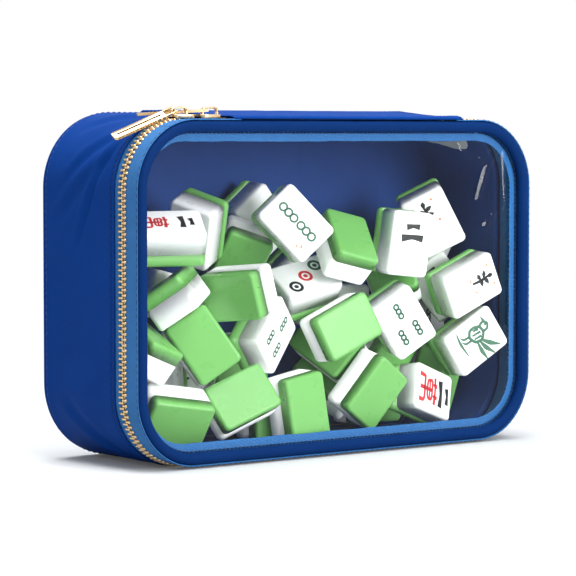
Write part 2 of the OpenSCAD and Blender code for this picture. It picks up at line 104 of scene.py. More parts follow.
PIPING_R = (PIPING_HI[1] - PIPING_LO[1] + PIPING_CUT) / 2
PIPING_IN = FRAME_IN + PIPING_R
PIPING_Y = PIPING_LO[1] + PIPING_R
FOLD_Y = ZIP_Y + 4  # the lid turns about a line behind the zip and a little above the lid

# From the lid to the back panel, the case's top and corner radius grow between these depths
GROWTH_Y = (HEM_Y, HEM_Y + 16, HEM_Y + 28, SEAM_Y)
GROWTH_TOP = (LID_H, LID_H + 0.55 * CROWN, TOP_H, TOP_H)
GROWTH_CORNER = (CORNER_R, 35.3, 35.8, BACK_CORNER_R)

# ---- Helpers: noise, outlines and meshes ----


def ripple(points, size, seed):
    """Smooth noise from -1 to 1 at each point, with features about size mm across."""
    shift = Vector((seed * 13.1, seed * 7.7, seed * 3.3))
    flat = np.asarray(points, float).reshape(-1, 3) / np.asarray(size, float)
    values = [noise.noise(Vector(p) + shift) for p in flat]
    return np.array(values).reshape(np.asarray(points).shape[:-1])


def bump(x, middle, width):
    """1 at the middle, falling smoothly to 0 at width from it."""
    t = np.clip(1 - np.abs(np.asarray(x, float) - middle) / width, 0, 1)
    return t * t * (3 - 2 * t)


def ramp(x, start, end):
    t = np.clip((np.asarray(x, float) - start) / (end - start), 0, 1)
    return t * t * (3 - 2 * t)


ACROSS, UP, ROUND = 96, 52, 28  # points along the top, up a side and round a corner


def ring(inset, radius=CORNER_R, top=LID_H):
    """Points (x, z) and outward directions round the outline, leftwards from the top's right end."""
    r = max(radius - inset, 0.3)
    x, z_low, z_high = HALF_W - inset - r, inset + r, top - inset - r
    corners = np.array([(x, z_high), (-x, z_high), (-x, z_low), (x, z_low), (x, z_high)])
    points, normals = [], []
    for k, count in enumerate((ACROSS, UP, ACROSS, UP)):
        out = np.array(((0, 1), (-1, 0), (0, -1), (1, 0))[k], float)
        f = (np.arange(count)[:, None] + 0.5) / count
        points.append(corners[k] + (corners[k + 1] - corners[k]) * f + r * out)
        normals.append(np.tile(out, (count, 1)))
        turns = np.radians(90 * (k + 1 + (np.arange(ROUND) + 0.5) / ROUND))
        outs = np.stack([np.cos(turns), np.sin(turns)], axis=1)
        points.append(corners[k + 1] + r * outs)
        normals.append(outs)
    return np.concatenate(points), np.concatenate(normals)


def ring_lengths():
    """Distance of each ring point round the outline, from the middle of the top leftwards."""
    p = ring(0)[0]
    steps = np.linalg.norm(np.roll(p, -1, axis=0) - p, axis=1)
    s = np.concatenate([[0], np.cumsum(steps)[:-1]])
    return s - ARC_X + steps[0] / 2, steps.sum()


RING_S, RING_TOTAL = ring_lengths()
ZIP_TOTAL = 4 * (ARC_X + ARC_Z) + 4 * CORNER_L


# For each straight stretch of the zip: its length, and the middle of the corner after it
STRETCHES = (
    (ARC_X, -ARC_X, MID_H + ARC_Z), (2 * ARC_Z, -ARC_X, MID_H - ARC_Z), (2 * ARC_X, ARC_X, MID_H - ARC_Z),
    (2 * ARC_Z, ARC_X, MID_H + ARC_Z), (ARC_X, 0, MID_H + ARC_Z),
)


def along(s):
    """Point (x, z) of the zip's middle line and the way out of it, s mm left from the top's middle."""
    s = s % ZIP_TOTAL
    way, out = np.array((-1.0, 0.0)), np.array((0.0, 1.0))
    for length, x, z in STRETCHES:
        middle = np.array((x, z))
        if s <= length:
            return middle + out * CHAIN_R - way * (length - s), out
        if s < length + CORNER_L:
            a = (s - length) / CHAIN_R
            out = out * math.cos(a) + way * math.sin(a)
            return middle + out * CHAIN_R, out
        s -= length + CORNER_L
        way, out = -out, way


def make_object(name, verts, faces):
    mesh = bpy.data.meshes.new(name)
    mesh.from_pydata((np.asarray(verts, float) * MM).tolist(), [], faces)
    mesh.validate()
    mesh.polygons.foreach_set("use_smooth", [True] * len(mesh.polygons))
    piece = bpy.data.objects.new(name, mesh)
    bpy.context.scene.collection.objects.link(piece)
    return piece


def run_length(points):
    """Distance along a row of points from its first one."""
    return np.concatenate([[0], np.cumsum(np.linalg.norm(np.diff(points, axis=0), axis=1))])


def surface(name, points, u=None, closed=True, outward=True):
    """A sheet through rows of points, each row closed on itself or open, with UVs in mm."""
    rows, cols = points.shape[:2]
    index = np.arange(rows * cols).reshape(rows, cols)
    here = index if closed else index[:, :-1]
    there = np.roll(index, -1, axis=1) if closed else index[:, 1:]
    u = run_length(points[rows // 2]) if u is None else u
    v = run_length(points[:, cols // 3])
    if closed:
        u = np.append(u, u[-1] + (u[-1] - u[-2]))
    left, right, low, high = u[None, :-1], u[None, 1:], v[:-1, None], v[1:, None]
    order = [here[:-1], here[1:], there[1:], there[:-1]]
    corners = [(left, low), (left, high), (right, high), (right, low)]
    if not outward:
        order.reverse()
        corners.reverse()
    faces = np.stack(order, axis=-1).reshape(-1, 4).tolist()
    piece = make_object(name, points.reshape(-1, 3), faces)
    uv = np.stack([np.stack(np.broadcast_arrays(*c), axis=-1) for c in corners], axis=2)
    layer = piece.data.uv_layers.new(name="UVMap")
    layer.data.foreach_set("uv", uv.astype(np.float32).reshape(-1))
    return piece


def at_depth(flat, y):
    """Points (x, y, z) from points (x, z)."""
    return np.stack([flat[:, 0], np.full(len(flat), y), flat[:, 1]], axis=1)


def loft(profile, radius=None, top=None):
    """Points and outward directions for a profile of (y, inset) carried round the outline."""
    points, normals = [], []
    for y, inset in profile:
        p, n = ring(inset, radius(y) if radius else CORNER_R, top(y) if top else LID_H)
        points.append(at_depth(p, y))
        normals.append(at_depth(n, 0.0))
    return np.array(points), np.array(normals)


def strip(s0, s1, profile, step=2.0):
    """Points for a profile of (y, inset) along the zip's line from s0 to s1."""
    stations = np.linspace(s0, s1, max(2, int((s1 - s0) / step)))
    places, outs = (np.array(a) for a in zip(*(along(s) for s in stations)))
    rows = [at_depth(places + outs * (CHAIN_IN - inset), y) for y, inset in profile]
    return np.array(rows), stations


def crown_top(y):
    """Height of the case's top at depth y, as in the frame."""
    return np.interp(y, GROWTH_Y, GROWTH_TOP)


def corner_at(y):
    return np.interp(y, GROWTH_Y, GROWTH_CORNER)


def join(name, parts):
    """One mesh object from lists of (verts, faces) in mm."""
    verts, faces, base = [], [], 0
    for v, f in parts:
        verts.extend(np.asarray(v, float).tolist())
        faces.extend([[i + base for i in face] for face in f])
        base += len(v)
    return make_object(name, np.array(verts), faces)


def tube_faces(rows, sides):
    """Faces between rows of points, each row closed on itself."""
    faces = []
    for r in range(rows - 1):
        for k in range(sides):
            n = (k + 1) % sides
            faces.append([r * sides + k, r * sides + n, (r + 1) * sides + n, (r + 1) * sides + k])
    return faces


# Along a stitch: how far, how wide and how proud of the cloth, as shares of its sizes
STITCH_SHAPE = ((0.0, 0.15, -0.6), (0.12, 0.75, 0.2), (0.5, 1.0, 1.0), (0.88, 0.75, 0.2), (1.0, 0.15, -0.6))
STITCH_SIDES = 6
STITCH_RISE = 0.22


def capsule(p, q, thickness, out):
    """A short stretch of thread from p to q that stands proud of the cloth in its middle."""
    way = (q - p) / np.linalg.norm(q - p)
    side = np.cross(way, out)
    verts = []
    for f, width, rise in STITCH_SHAPE:
        centre = p + (q - p) * f + out * STITCH_RISE * rise
        for k in range(STITCH_SIDES):
            a = 2 * math.pi * k / STITCH_SIDES
            verts.append(centre + thickness / 2 * width * (math.cos(a) * side + math.sin(a) * out))
    return verts, tube_faces(len(STITCH_SHAPE), STITCH_SIDES)


def stitch_row(path, outs, length=2.4, gap=0.9, thickness=0.42):
    """Stitches along a path of points, with the way out of the cloth at each of them."""
    path, outs = np.array(path, float), np.array(outs, float)
    s = run_length(path)

    def at(where, values):
        return np.array([np.interp(where, s, values[:, k]) for k in range(3)])

    parts, here = [], gap
    while here + length < s[-1]:
        out = at(here + length / 2, outs)
        parts.append(capsule(at(here, path), at(here + length, path), thickness, out / np.linalg.norm(out)))
        here += length + gap
    return parts


# ---- Materials ----


def linear(rgb):
    """Linear colour from an 8-bit one."""
    return [((c / 255 + 0.055) / 1.055) ** 2.4 if c > 10 else c / 255 / 12.92 for c in rgb]


def plug(tree, socket, value):
    """Links an input to another node's output, or sets it to a plain value."""
    if isinstance(value, bpy.types.NodeSocket):
        tree.links.new(value, socket)
    else:
        socket.default_value = value


def add(tree, kind, *feeds, **values):
    """A new shader node: its settings and inputs by name, and feeds for its inputs in turn."""
    made = tree.nodes.new("ShaderNode" + kind)
    for key, value in values.items():
        socket = made.inputs.get(key.replace("_", " "))
        if socket is None:
            setattr(made, key, value)
        else:
            plug(tree, socket, value)
    for socket, value in zip(made.inputs, feeds):
        plug(tree, socket, value)
    return made


WAVE_UNIT = 0.314  # a wave node of this scale repeats once in each unit


class Finish:
    """A principled material with a few procedural layers on it."""

    def __init__(self, name, rgb, roughness, metallic=0.0, specular=0.5):
        self.material = bpy.data.materials.new(name)
        self.material.use_nodes = True
        self.tree = self.material.node_tree
        self.shader = self.tree.nodes["Principled BSDF"]
        self.colour = linear(rgb)
        self.set(Base_Color=self.colour + [1.0], Roughness=roughness)
        self.set(Metallic=metallic, Specular_IOR_Level=specular)
        self.height = None

    def set(self, **values):
        for name, value in values.items():
            plug(self.tree, self.shader.inputs[name.replace("_", " ")], value)
        return self

    def show(self, shader):
        """Makes a shader the material's surface."""
        plug(self.tree, self.tree.nodes["Material Output"].inputs["Surface"], shader.outputs[0])

    def node(self, kind, *feeds, **values):
        return add(self.tree, kind, *feeds, **values)

    def place(self, scale, source="Object"):
        """Coordinates in mm times scale: in the object or, from UV, along the cloth."""
        factor = 1.0 if source == "UV" else 1 / MM
        where = self.node("TexCoord").outputs[source]
        return self.node("Mapping", where, Scale=[factor * c for c in scale]).outputs["Vector"]

    def cloud(self, size, detail, stretch=(1, 1, 1)):
        """Smooth noise from 0 to 1 in patches of about size mm."""
        where = self.place([c / size for c in stretch])
        return self.node("TexNoise", where, Scale=1.0, Detail=detail).outputs["Fac"]

    def blotch(self, size, amount, detail=3.0):
        """Varies the colour in patches of about size mm."""
        mix = self.node("Mix", self.cloud(size, detail), data_type="RGBA")
        for k, factor in ((6, 1 - amount), (7, 1 + amount)):  # the two colours among its inputs
            mix.inputs[k].default_value = [min(1, c * factor) for c in self.colour] + [1]
        return self.set(Base_Color=mix.outputs[2])

    def wear(self, size, low, high):
        """Varies the roughness in patches of about size mm."""
        span = self.node("MapRange", self.cloud(size, 4.0), To_Min=low, To_Max=high)
        return self.set(Roughness=span.outputs["Result"])

    def bumps(self, output, depth):
        """Adds a height field of depth mm."""
        made = self.node("Bump", Strength=1.0, Distance=depth * MM, Height=output)
        if self.height is not None:
            plug(self.tree, made.inputs["Normal"], self.height)
        self.height = made.outputs["Normal"]
        return self.set(Normal=self.height)

    def threads(self, pitch, depth, ways=((1, 0), (0, 1)), operation="MULTIPLY"):
        """A woven surface: two sets of threads along the cloth, with a pitch in mm."""
        where = self.place([1 / pitch] * 3, "UV")
        waves = []
        for x, y in ways:
            dot = self.node("VectorMath", where, (x, y, 0), operation="DOT_PRODUCT")
            wave = self.node("TexWave", dot.outputs["Value"], Scale=WAVE_UNIT, bands_direction="X")
            waves.append(wave.outputs["Fac"])
        both = self.node("Math", *waves, operation=operation)
        return self.bumps(both.outputs[0], depth)

    def grain(self, size, depth, detail=4.0, stretch=(1, 1, 1)):
        """Adds bumps of about size mm and depth mm."""
        return self.bumps(self.cloud(size, detail, stretch), depth)


def blue_nylon(name, rgb):
    cloth = Finish(name, rgb, 0.6, specular=0.02)
    cloth.blotch(38, 0.13).wear(12, 0.5, 0.68)
    return cloth.threads(0.55, 0.05).grain(5, 0.12).material


def twill(name, rgb):
    """A narrow woven tape with slanting ribs."""
    cloth = Finish(name, rgb, 0.72, specular=0.1)
    cloth.blotch(5, 0.14, 5)
    cloth.threads(1.1, 0.2, ((1, 0.7), (0.35, 1)), "MAXIMUM").grain(0.8, 0.14)
    cloth.set(Sheen_Weight=0.04, Sheen_Roughness=0.5, Sheen_Tint=linear((210, 230, 255)) + [1.0])
    return cloth.material


def navy_cloth():
    cloth = Finish("navy_lining", (33, 66, 130), 0.6, specular=0.1)
    cloth.blotch(30, 0.12).wear(10, 0.5, 0.7)
    return cloth.threads(0.5, 0.03).grain(6, 0.04).material


def thread(name, rgb):
    cord = Finish(name, rgb, 0.6, specular=0.3)
    return cord.blotch(2, 0.15).grain(0.3, 0.06, stretch=(1, 1, 3)).material


def gold_metal():
    metal = Finish("polished_gold", (212, 184, 142), 0.26, metallic=1.0)
    metal.blotch(6, 0.08).wear(3, 0.2, 0.38)
    return metal.grain(1.5, 0.02).material


def resin(name, rgb):
    tile = Finish(name, rgb, 0.28, specular=0.35)
    tile.blotch(14, 0.02).wear(9, 0.22, 0.36)
    tile.set(Subsurface_Weight=0.1, Subsurface_Radius=(1.0, 1.0, 1.0), Subsurface_Scale=0.8 * MM)
    return tile.grain(9, 0.03).material


def foam_material():
    foam = Finish("grey_foam", (205, 205, 208), 0.95, specular=0.1)
    return foam.blotch(3, 0.1, 6).grain(0.6, 0.4, 6).material


def cord_material():
    cord = Finish("white_piping_cord", (230, 230, 226), 0.5)
    return cord.blotch(8, 0.05).grain(1.2, 0.08).material


def ink(name, rgb):
    paint = Finish(name, rgb, 0.35)
    return paint.blotch(1.5, 0.2).grain(0.6, 0.03).material


def clear_vinyl():
    """A thin clear sheet: it shows what is behind it and mirrors the room a little."""
    sheet = Finish("clear_vinyl", (235, 242, 250), 0.05).grain(30, 0.12, 1.0)
    clear = sheet.node("BsdfTransparent", Color=(0.985, 0.99, 1.0, 1))
    gloss = sheet.node("BsdfGlossy", Roughness=0.06, Normal=sheet.height)
    # mirrors as clear plastic does, from 2% head on to all of it edge on, on both faces
    edge = sheet.node("LayerWeight", Blend=0.5, Normal=sheet.height)
    grazing = sheet.node("Math", edge.outputs["Facing"], 5.0, operation="POWER")
    share = sheet.node("MapRange", grazing.outputs[0], To_Min=0.02)
    sheet.show(sheet.node("MixShader", share.outputs["Result"], clear.outputs[0], gloss.outputs[0]))
    sheet.tree.nodes.remove(sheet.shader)
    return sheet.material


# Each look is a material and the record's slot that it belongs to
NYLON = blue_nylon("royal_blue_nylon", (10, 51, 119)), "blue_nylon"
# The piping gets the same royal blue nylon made darker: painted shade for the piping's shaded sides
PIPING_NYLON_PAINTED_SHADE = blue_nylon("piping_blue_nylon_painted_shade", (8, 38, 86)), "blue_nylon"
TWILL = twill("light_blue_twill", (45, 101, 158)), "light_blue_twill"
NAVY = navy_cloth(), "navy_lining"
BLUE_THREAD = thread("blue_thread", (20, 62, 132)), "blue_nylon"
# Thread darker than the blue thread, as painted shadow: it turns the stitch rows along the hem, the window's
# edge and the lid's tape into shade lines
THREAD_PAINTED_SHADOW = thread("blue_thread_painted_shadow", (9, 24, 62)), "blue_nylon"
GOLD = gold_metal(), "gold_metal"
FOAM = foam_material(), "foam"
CORD = cord_material(), "white_cord"
WHITE_RESIN = resin("white_resin", (248, 250, 248)), "tile_white"
GREEN_RESIN = resin("green_resin", (109, 173, 92)), "tile_green"
INK_COLOURS = {"black": (22, 26, 26), "red": (200, 40, 44), "green": (24, 92, 62), "orange": (224, 150, 96)}
INKS = {name: (ink(f"{name}_ink", rgb), "tile_white") for name, rgb in INK_COLOURS.items()}
VINYL = clear_vinyl(), "clear_vinyl"


def paint(piece, look):
    """Puts a look's material on a piece, in place of what it had."""
    material, _ = look
    piece.data.materials.clear()
    piece.data.materials.append(material)


def dress(piece, look, body, *nodes):
    """Gives a piece its look, the CAD nodes that it stands for and the body that it rides on."""
    paint(piece, look)
    if nodes:
        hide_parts(*nodes)
    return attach(piece, body) if body else piece


# ---- The outer fabric ----

HEM_W = 2.4  # from the folded edge to the stitch line behind it
HEM_EDGE = HEM_Y - 2.2  # the folded edge, which laps over the zip's tape
HEM_STITCH_Y = HEM_EDGE + HEM_W
PUCKER_PITCH = 3.3  # from one pucker to the next along that stitch line
DEEPEST_DENT = 1.75  # the foam lies just below this
LOWEST = 0.02  # what rests on the ground stays just above it
CREASES = [  # s and y at both ends, width and depth, all mm
    (118, -17, 182, 12, 3.4, 1.4),
    (112, -15, 150, 26, 4.2, 1.0),
    (128, -16, 168, 34, 5.0, 0.9),
    (262, 10, 288, -17, 4.5, 1.4),
    (245, 22, 276, -6, 6.0, 1.0),
    (96, -10, 118, 30, 5.0, 0.9),
]


def crease_depth(s, y):
    """How far the fabric falls in along its creases."""
    total = np.zeros(np.broadcast(s, y).shape)
    for s0, y0, s1, y1, width, depth in CREASES:
        a, d = np.array((s0, y0), float), np.array((s1 - s0, y1 - y0), float)
        length = np.linalg.norm(d)
        d = d / length
        t = (s - a[0]) * d[0] + (y - a[1]) * d[1]
        off = (s - a[0]) * -d[1] + (y - a[1]) * d[0]
        fade = ramp(t, -2, 12) * (1 - ramp(t, length * 0.55, length))
        total += depth * fade * (bump(off, 0, width) - 0.45 * bump(off, width * 1.1, width))
    return total


def side_fabric():
    hem = [(3.2, 0.95), (1.2, 0.9), (0.3, 0.75), (0, 0.4), (0.25, 0.1)]  # from its turned-in end
    ys = np.concatenate([
        np.linspace(HEM_EDGE + 0.7, HEM_Y + 6, 22), np.linspace(HEM_Y + 7.5, SEAM_Y - 2, 34),
        [SEAM_Y - 1.2, SEAM_Y - 0.7, SEAM_Y - 0.3],
    ])
    profile = [(HEM_EDGE + y, inset) for y, inset in hem] + [(y, 0.0) for y in ys]
    points, normals = loft(profile, corner_at, crown_top)
    y = points[..., 1]
    s = np.tile(RING_S, (len(profile), 1))
    loose = ramp(y, HEM_STITCH_Y + 1, GROWTH_Y[1]) * (1 - ramp(y, SEAM_Y - 8, SEAM_Y))
    push = loose * (0.55 * ripple(points, (46, 60, 46), 1) + 0.22 * ripple(points, (15, 22, 15), 2) - 0.1)
    push -= crease_depth(s, y) * ramp(y, HEM_STITCH_Y, HEM_STITCH_Y + 3)
    push += 0.35 * bump(y, HEM_EDGE + 1.1, 1.1) - 0.7 * bump(y, HEM_STITCH_Y, 0.8)
    push -= 0.7 * ramp(y, SEAM_Y - 1.6, SEAM_Y)
    push += 0.12 * np.sin(s * 2 * math.pi / PUCKER_PITCH) * bump(y, HEM_STITCH_Y, 2.2)
    points = points + normals * np.maximum(push, -DEEPEST_DENT)[..., None]
    points[..., 2] = np.maximum(points[..., 2], LOWEST)
    piece = dress(surface("side_fabric", points, u=RING_S), NYLON, "case", "side_gusset")


def around_stitches(name, y, inset, look, body, radius=CORNER_R, top=LID_H, forward=False, **sizes):
    """Stitches round the outline, proud of the side or, where they face forward, of the lid."""
    p, n = ring(inset, radius, top)
    path, outs = at_depth(p, y), at_depth(n, 0.0)
    if forward:
        outs = np.tile((0.0, -1.0, 0.0), (len(n), 1))
    parts = stitch_row(np.vstack([path, path[:1]]), np.vstack([outs, outs[:1]]), **sizes)
    dress(join(name, parts), look, body)


DISC_HOLE = 0.0005  # the innermost ring of a disc, as a share of its edge


def disc(profile, steps, rise=0.0, radius=BACK_CORNER_R, top=TOP_H):
    """Rings from an edge profile inwards to the middle, which lies rise further back."""
    rows = list(loft(profile, lambda y: radius, lambda y: top)[0])
    edge, edge_y = rows[-1], profile[-1][0]
    for f in np.linspace(1, DISC_HOLE, steps)[1:]:
        row = edge * f
        row[:, 1] = edge_y + rise * (1 - f ** 2)
        row[:, 2] += top / 2 * (1 - f)
        rows.append(row)
    return np.array(rows)


def back_fabric():
    profile = [
        (SEAM_Y - 0.2, 1.0), (SEAM_Y, 0.6), (SEAM_Y + 0.5, 0.3), (SEAM_Y + 1.3, 0.45), (BACK_Y - 1.4, 1.2),
        (BACK_Y - 0.6, 2.4), (BACK_Y - 0.1, 4.2), (BACK_Y + 0.1, 6.5), (BACK_Y + 0.3, 9.5),
    ]
    points = disc(profile, 44, rise=1.3)
    inner = ramp(np.arange(len(points)), 4, 14)[:, None]
    swell = 0.7 * ripple(points, (55, 55, 40), 5) + 0.25 * ripple(points, (14, 14, 22), 6)
    points[..., 1] += inner * (swell + 0.6)
    points[..., 2] = np.maximum(points[..., 2], LOWEST)
    piece = dress(surface("back_fabric", points, u=RING_S), NYLON, "case", "back_panel")


def foam_pieces():
    y0, y1 = FOAM_LO[1], FOAM_HI[1]
    profile = [
        (y0 + 0.6, 2.1), (y0, 2.2), (y0, 2.7), (y0 + 0.6, 2.9), (y1 - 1, 2.9), (y1, 2.8), (y1, 2.2),
        (y1 - 1, 2.1), (y0 + 0.6, 2.1),
    ]
    points, normals = loft(profile, corner_at, crown_top)
    points += normals * (0.08 * ripple(points, 9, 8))[..., None]
    side = dress(surface("side_foam_wrap", points, u=RING_S), FOAM, "case", "side_foam")
    front_y, rear_y = BACK_FOAM_Y + 0.8, BACK_Y - 1.6
    front = disc([(front_y, 3.6)], 30)[::-1]
    rear = disc([(front_y + 1.2, 3.0), (rear_y - 0.6, 3.2), (rear_y, 4.6)], 30)
    points = np.concatenate([front, rear])
    points[..., 1] += 0.1 * ripple(points, 12, 9)
    back = dress(surface("back_foam_sheet", points, u=RING_S), FOAM, "case", "back_foam")


def lining():
    y0, y1 = LINING_LO[1], LINING_HI[1]
    lip = [(0.55, 1.6), (0.1, 1.7), (0, 2.4), (0.02, 3.3), (0.35, 4.0), (1.0, 4.28)]
    profile = [(y0 + y, inset) for y, inset in lip]
    profile += [(y, ROOM_IN) for y in np.linspace(y0 + 2, y1, 30)]
    points, normals = loft(profile, corner_at, crown_top)
    y = points[..., 1]
    loose = ramp(y, y0 + 1, y0 + 8) * (1 - ramp(y, y1 - 3, y1))
    fold = 0.8 + 0.9 * ripple(points, (20, 34, 20), 11) + 0.5 * ripple(points, (7, 14, 7), 12)
    points += normals * (loose * np.clip(fold, 0, 1.4))[..., None]
    side = surface("side_lining_cloth", points, u=RING_S, outward=False)
    dress(side, NAVY, "case", "side_lining")
    rows = disc([(BACK_LINING_Y, ROOM_IN + 0.1)], 60)
    inner = ramp(np.arange(len(rows)), 0, 6)[:, None]
    fold = 0.5 + 0.8 * ripple(rows, (34, 20, 26), 13) + 0.4 * ripple(rows, (9, 9, 12), 14)
    rows[..., 1] += inner * np.clip(fold, 0, 1.2)
    back = surface("back_lining_cloth", rows, u=RING_S, outward=False)
    dress(back, NAVY, "case", "back_lining")


# ---- The band over the hinge ----


BAND_T = 1.0
BAND_STITCH_IN = 3.0  # from the band's left and right ends to its stitches


def hinge_band():
    x0, x1 = BAND_LO[0], BAND_HI[0]
    front_y, rear_y = BAND_FRONT_Y, BAND_HI[1]
    sew_y = front_y + 3
    ys = np.concatenate([
        [front_y, front_y + 0.2, front_y + 0.8, front_y + 1.6], np.linspace(sew_y, FOLD_Y, 10),
        np.linspace(FOLD_Y + 1, rear_y - 0.6, 46), [rear_y - 0.2, rear_y],
    ])
    step = np.interp(ys, [front_y, front_y + 0.5, sew_y], [-1.1, -0.45, -0.25])
    over = crown_top(ys) + 0.1 + BAND_T + np.where(ys < sew_y, step, 0)
    over[-2:] -= (0.15, 0.5)
    ends = np.array([0, 0.25, 0.7, 1.4, 2.2, 3.0, 3.6, 4.4, 6.0])
    xs = np.concatenate([x0 + ends, np.linspace(x0 + 8, x1 - 8, 64), x1 - ends[::-1]])
    from_end = np.minimum(xs - x0, x1 - xs)
    drop = 0.16 * bump(from_end, 1.5, 1.3) - 0.55 * (1 - ramp(from_end, 0, 0.8))
    drop -= 0.28 * bump(from_end, BAND_STITCH_IN, 0.9)
    grid = np.zeros((len(ys), len(xs), 3))
    grid[..., 0], grid[..., 1] = xs[None, :], ys[:, None]
    grid[..., 2] = over[:, None] + drop[None, :]
    slack = bump(ys, (FOLD_Y + HEM_Y) / 2, 16)[:, None] * 0.15 + 0.12
    grid[..., 2] += slack * ripple(grid, (14, 10, 14), 21) + 0.05 * ripple(grid, (5, 4, 5), 22)
    low = grid.copy()
    low[..., 2] = np.minimum(over[:, None] - BAND_T + 0.08, grid[..., 2] - 0.25)
    # the underside comes back from the rear edge to the front one, so that the piece is closed
    loop = np.concatenate([grid, low[::-1], grid[:1]])
    piece = surface("hinge_band", loop, closed=False)
    dress(piece, NYLON, None, "hinge_band_rear", "hinge_band_front")
    cap = bmesh.new()
    cap.from_mesh(piece.data)
    bmesh.ops.remove_doubles(cap, verts=cap.verts, dist=1e-6)
    bmesh.ops.recalc_face_normals(cap, faces=cap.faces)
    cap.to_mesh(piece.data)
    cap.free()
    parts = []
    for x in (x0 + BAND_STITCH_IN, x1 - BAND_STITCH_IN):
        path = [(x, y, z - 0.12) for y, z in zip(ys[6:-3], over[6:-3])]
        parts += stitch_row(path, [(0, 0, 1)] * len(path), length=2.2, gap=0.9, thickness=0.4)
    stitches = dress(join("hinge_band_stitches", parts), BLUE_THREAD, None)
    for made in (piece, stitches):
        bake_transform(made)


# ---- The lid ----


PIPING_SEAM_S = -6.5  # where the ends of the piping's cloth meet, from the top's middle


def piping():
    turns = np.radians(np.linspace(-60, 300, 25))
    profile = [(PIPING_Y - PIPING_R * math.sin(a), PIPING_IN + PIPING_R * math.cos(a)) for a in turns]
    points, normals = loft(profile)
    s = np.tile(RING_S, (len(profile), 1))
    angle = np.tile(turns[:, None], (1, len(RING_S)))
    gather = 0.05 * ripple(np.stack([s, angle * 6, s * 0], axis=-1), (2.2, 5, 1), 31)
    gather += 0.1 * ripple(np.stack([s, angle * 4, s * 0], axis=-1), (9, 7, 1), 32)
    gather -= 0.28 * bump((s - PIPING_SEAM_S + 30) % RING_TOTAL, 30, 0.7)
    points[..., 1] -= np.sin(angle) * gather
    points -= normals * (np.cos(angle) * gather)[..., None]
    points[..., 1] = np.minimum(points[..., 1], WINDOW_Y - 0.02)
    piece = surface("piping_cloth", points, u=RING_S)
    # the piping's cloth takes the darker copy of the nylon, which is painted shade
    dress(piece, PIPING_NYLON_PAINTED_SHADE, "lid", "piping_cover")
    paint(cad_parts["piping_cord"], CORD)


WRINKLES = [  # lines of x and z across the vinyl, their width and height, all mm
    ([(79.8, 154), (82, 146), (90, 142), (98.5, 150)], 2.4, 0.9),
    ([(106.9, 152.7), (97.2, 140), (91.7, 124.6), (100.8, 121.3)], 2.4, 0.9),
    ([(103.6, 117.2), (96.7, 111.1)], 2.4, 1.1),
    ([(110.4, 150), (110.6, 110), (110.2, 60)], 2.6, 0.9),
]


def wrinkle_height(x, z):
    """How far the vinyl stands out along its wrinkles."""
    total = np.zeros(x.shape)
    for line, width, height in WRINKLES:
        nearest = np.full(x.shape, 1e3)
        for (x0, z0), (x1, z1) in zip(line, line[1:]):
            way = np.array((x1 - x0, z1 - z0))
            t = np.clip(((x - x0) * way[0] + (z - z0) * way[1]) / (way @ way), 0, 1)
            nearest = np.minimum(nearest, np.hypot(x - x0 - t * way[0], z - z0 - t * way[1]))
        total = np.maximum(total, height * bump(nearest, 0, width))
    return total


SLACK = [  # middle x and z, half width and height, depth, wave sizes and seed of the vinyl's loose spots
    (96, 128, 24, 34, 0.6, (16, 20, 34), 42),
    (100, 45, 14, 24, 0.25, (12, 20, 24), 44),
]


def window():
    y = WINDOW_Y + 0.05
    edge = [(y, FRAME_IN + 0.1), (y, FRAME_IN + 3), (y, PIPING_IN + PIPING_R + 1.0)]
    rows = disc(edge, 90, radius=CORNER_R, top=LID_H)
    x, z = rows[..., 0], rows[..., 2]
    free = ramp(np.arange(len(rows)), 3, 12)[:, None]
    wave = 0.35 * ripple(rows, (70, 40, 45), 41)
    for x0, z0, wide, high, depth, size, seed in SLACK:
        near = np.exp(-(((x - x0) / wide) ** 2 + ((z - z0) / high) ** 2))
        wave = wave + near * depth * ripple(rows, size, seed)
    rows[..., 1] -= free * np.clip(wave + 0.35, 0, 2.4) + wrinkle_height(x, z)
    piece = surface("window_sheet", rows, u=RING_S, outward=False)
    dress(piece, VINYL, "lid", "window")


BINDING_IN = HALF_W - 114.15  # inner edge of the binding, in from the outline
LEFT_BINDING_LESS, RIGHT_BINDING_LESS = 3.4, 0.6  # how much narrower the binding is there
CORNERS_S = (118, 270, 505, 655)  # where the binding bunches up at its corners, round the outline


def binding():
    y0, y1 = BINDING_LO[1], BINDING_HI[1]
    profile = [
        (y0 + 0.04, FRAME_IN + 0.2), (y0 + 0.04, BINDING_IN - 3.6), (y0 + 0.02, BINDING_IN - 2.4),
        (y0 + 0.02, BINDING_IN - 1.2), (y0 + 0.05, BINDING_IN - 0.4), (y0 + 0.18, BINDING_IN),
        (y1 - 0.04, BINDING_IN - 0.3), (y1, BINDING_IN - 1.4), (y1, FRAME_IN + 1),
        (y1 - 0.05, FRAME_IN + 0.2), (y0 + 0.04, FRAME_IN + 0.2),
    ]
    points, normals = loft(profile)
    s = np.tile(RING_S, (len(profile), 1))
    run = np.stack([s, s * 0, s * 0], axis=-1)
    inset = np.array(profile)[:, 1:]
    corners = sum(bump(RING_S % RING_TOTAL, m, 26) for m in CORNERS_S)[None, :]
    rumple = 0.3 * ripple(run, (9, 1, 1), 51) + corners * 0.9 * ripple(run, (6, 1, 1), 52)
    points += normals * (bump(inset, BINDING_IN, 3.4) * rumple)[..., None]
    left, right = np.maximum(-normals[..., 0], 0), np.maximum(normals[..., 0], 0)
    less = LEFT_BINDING_LESS * left + RIGHT_BINDING_LESS * right ** 2
    points += normals * (less * (inset - FRAME_IN) / (BINDING_IN - FRAME_IN))[..., None]
    piece = surface("binding_tape", points, u=RING_S)
    dress(piece, TWILL, "lid", "window_binding")
    # Dark stitches at the piping's inner edge: painted shadow for the shade line between the piping and the
    # binding
    around_stitches("window_stitches", WINDOW_Y - 0.05, PIPING_IN + PIPING_R + 0.25, THREAD_PAINTED_SHADOW, "lid",
                    forward=True, length=1.9, gap=0.5, thickness=0.7)


# ---- The zip ----

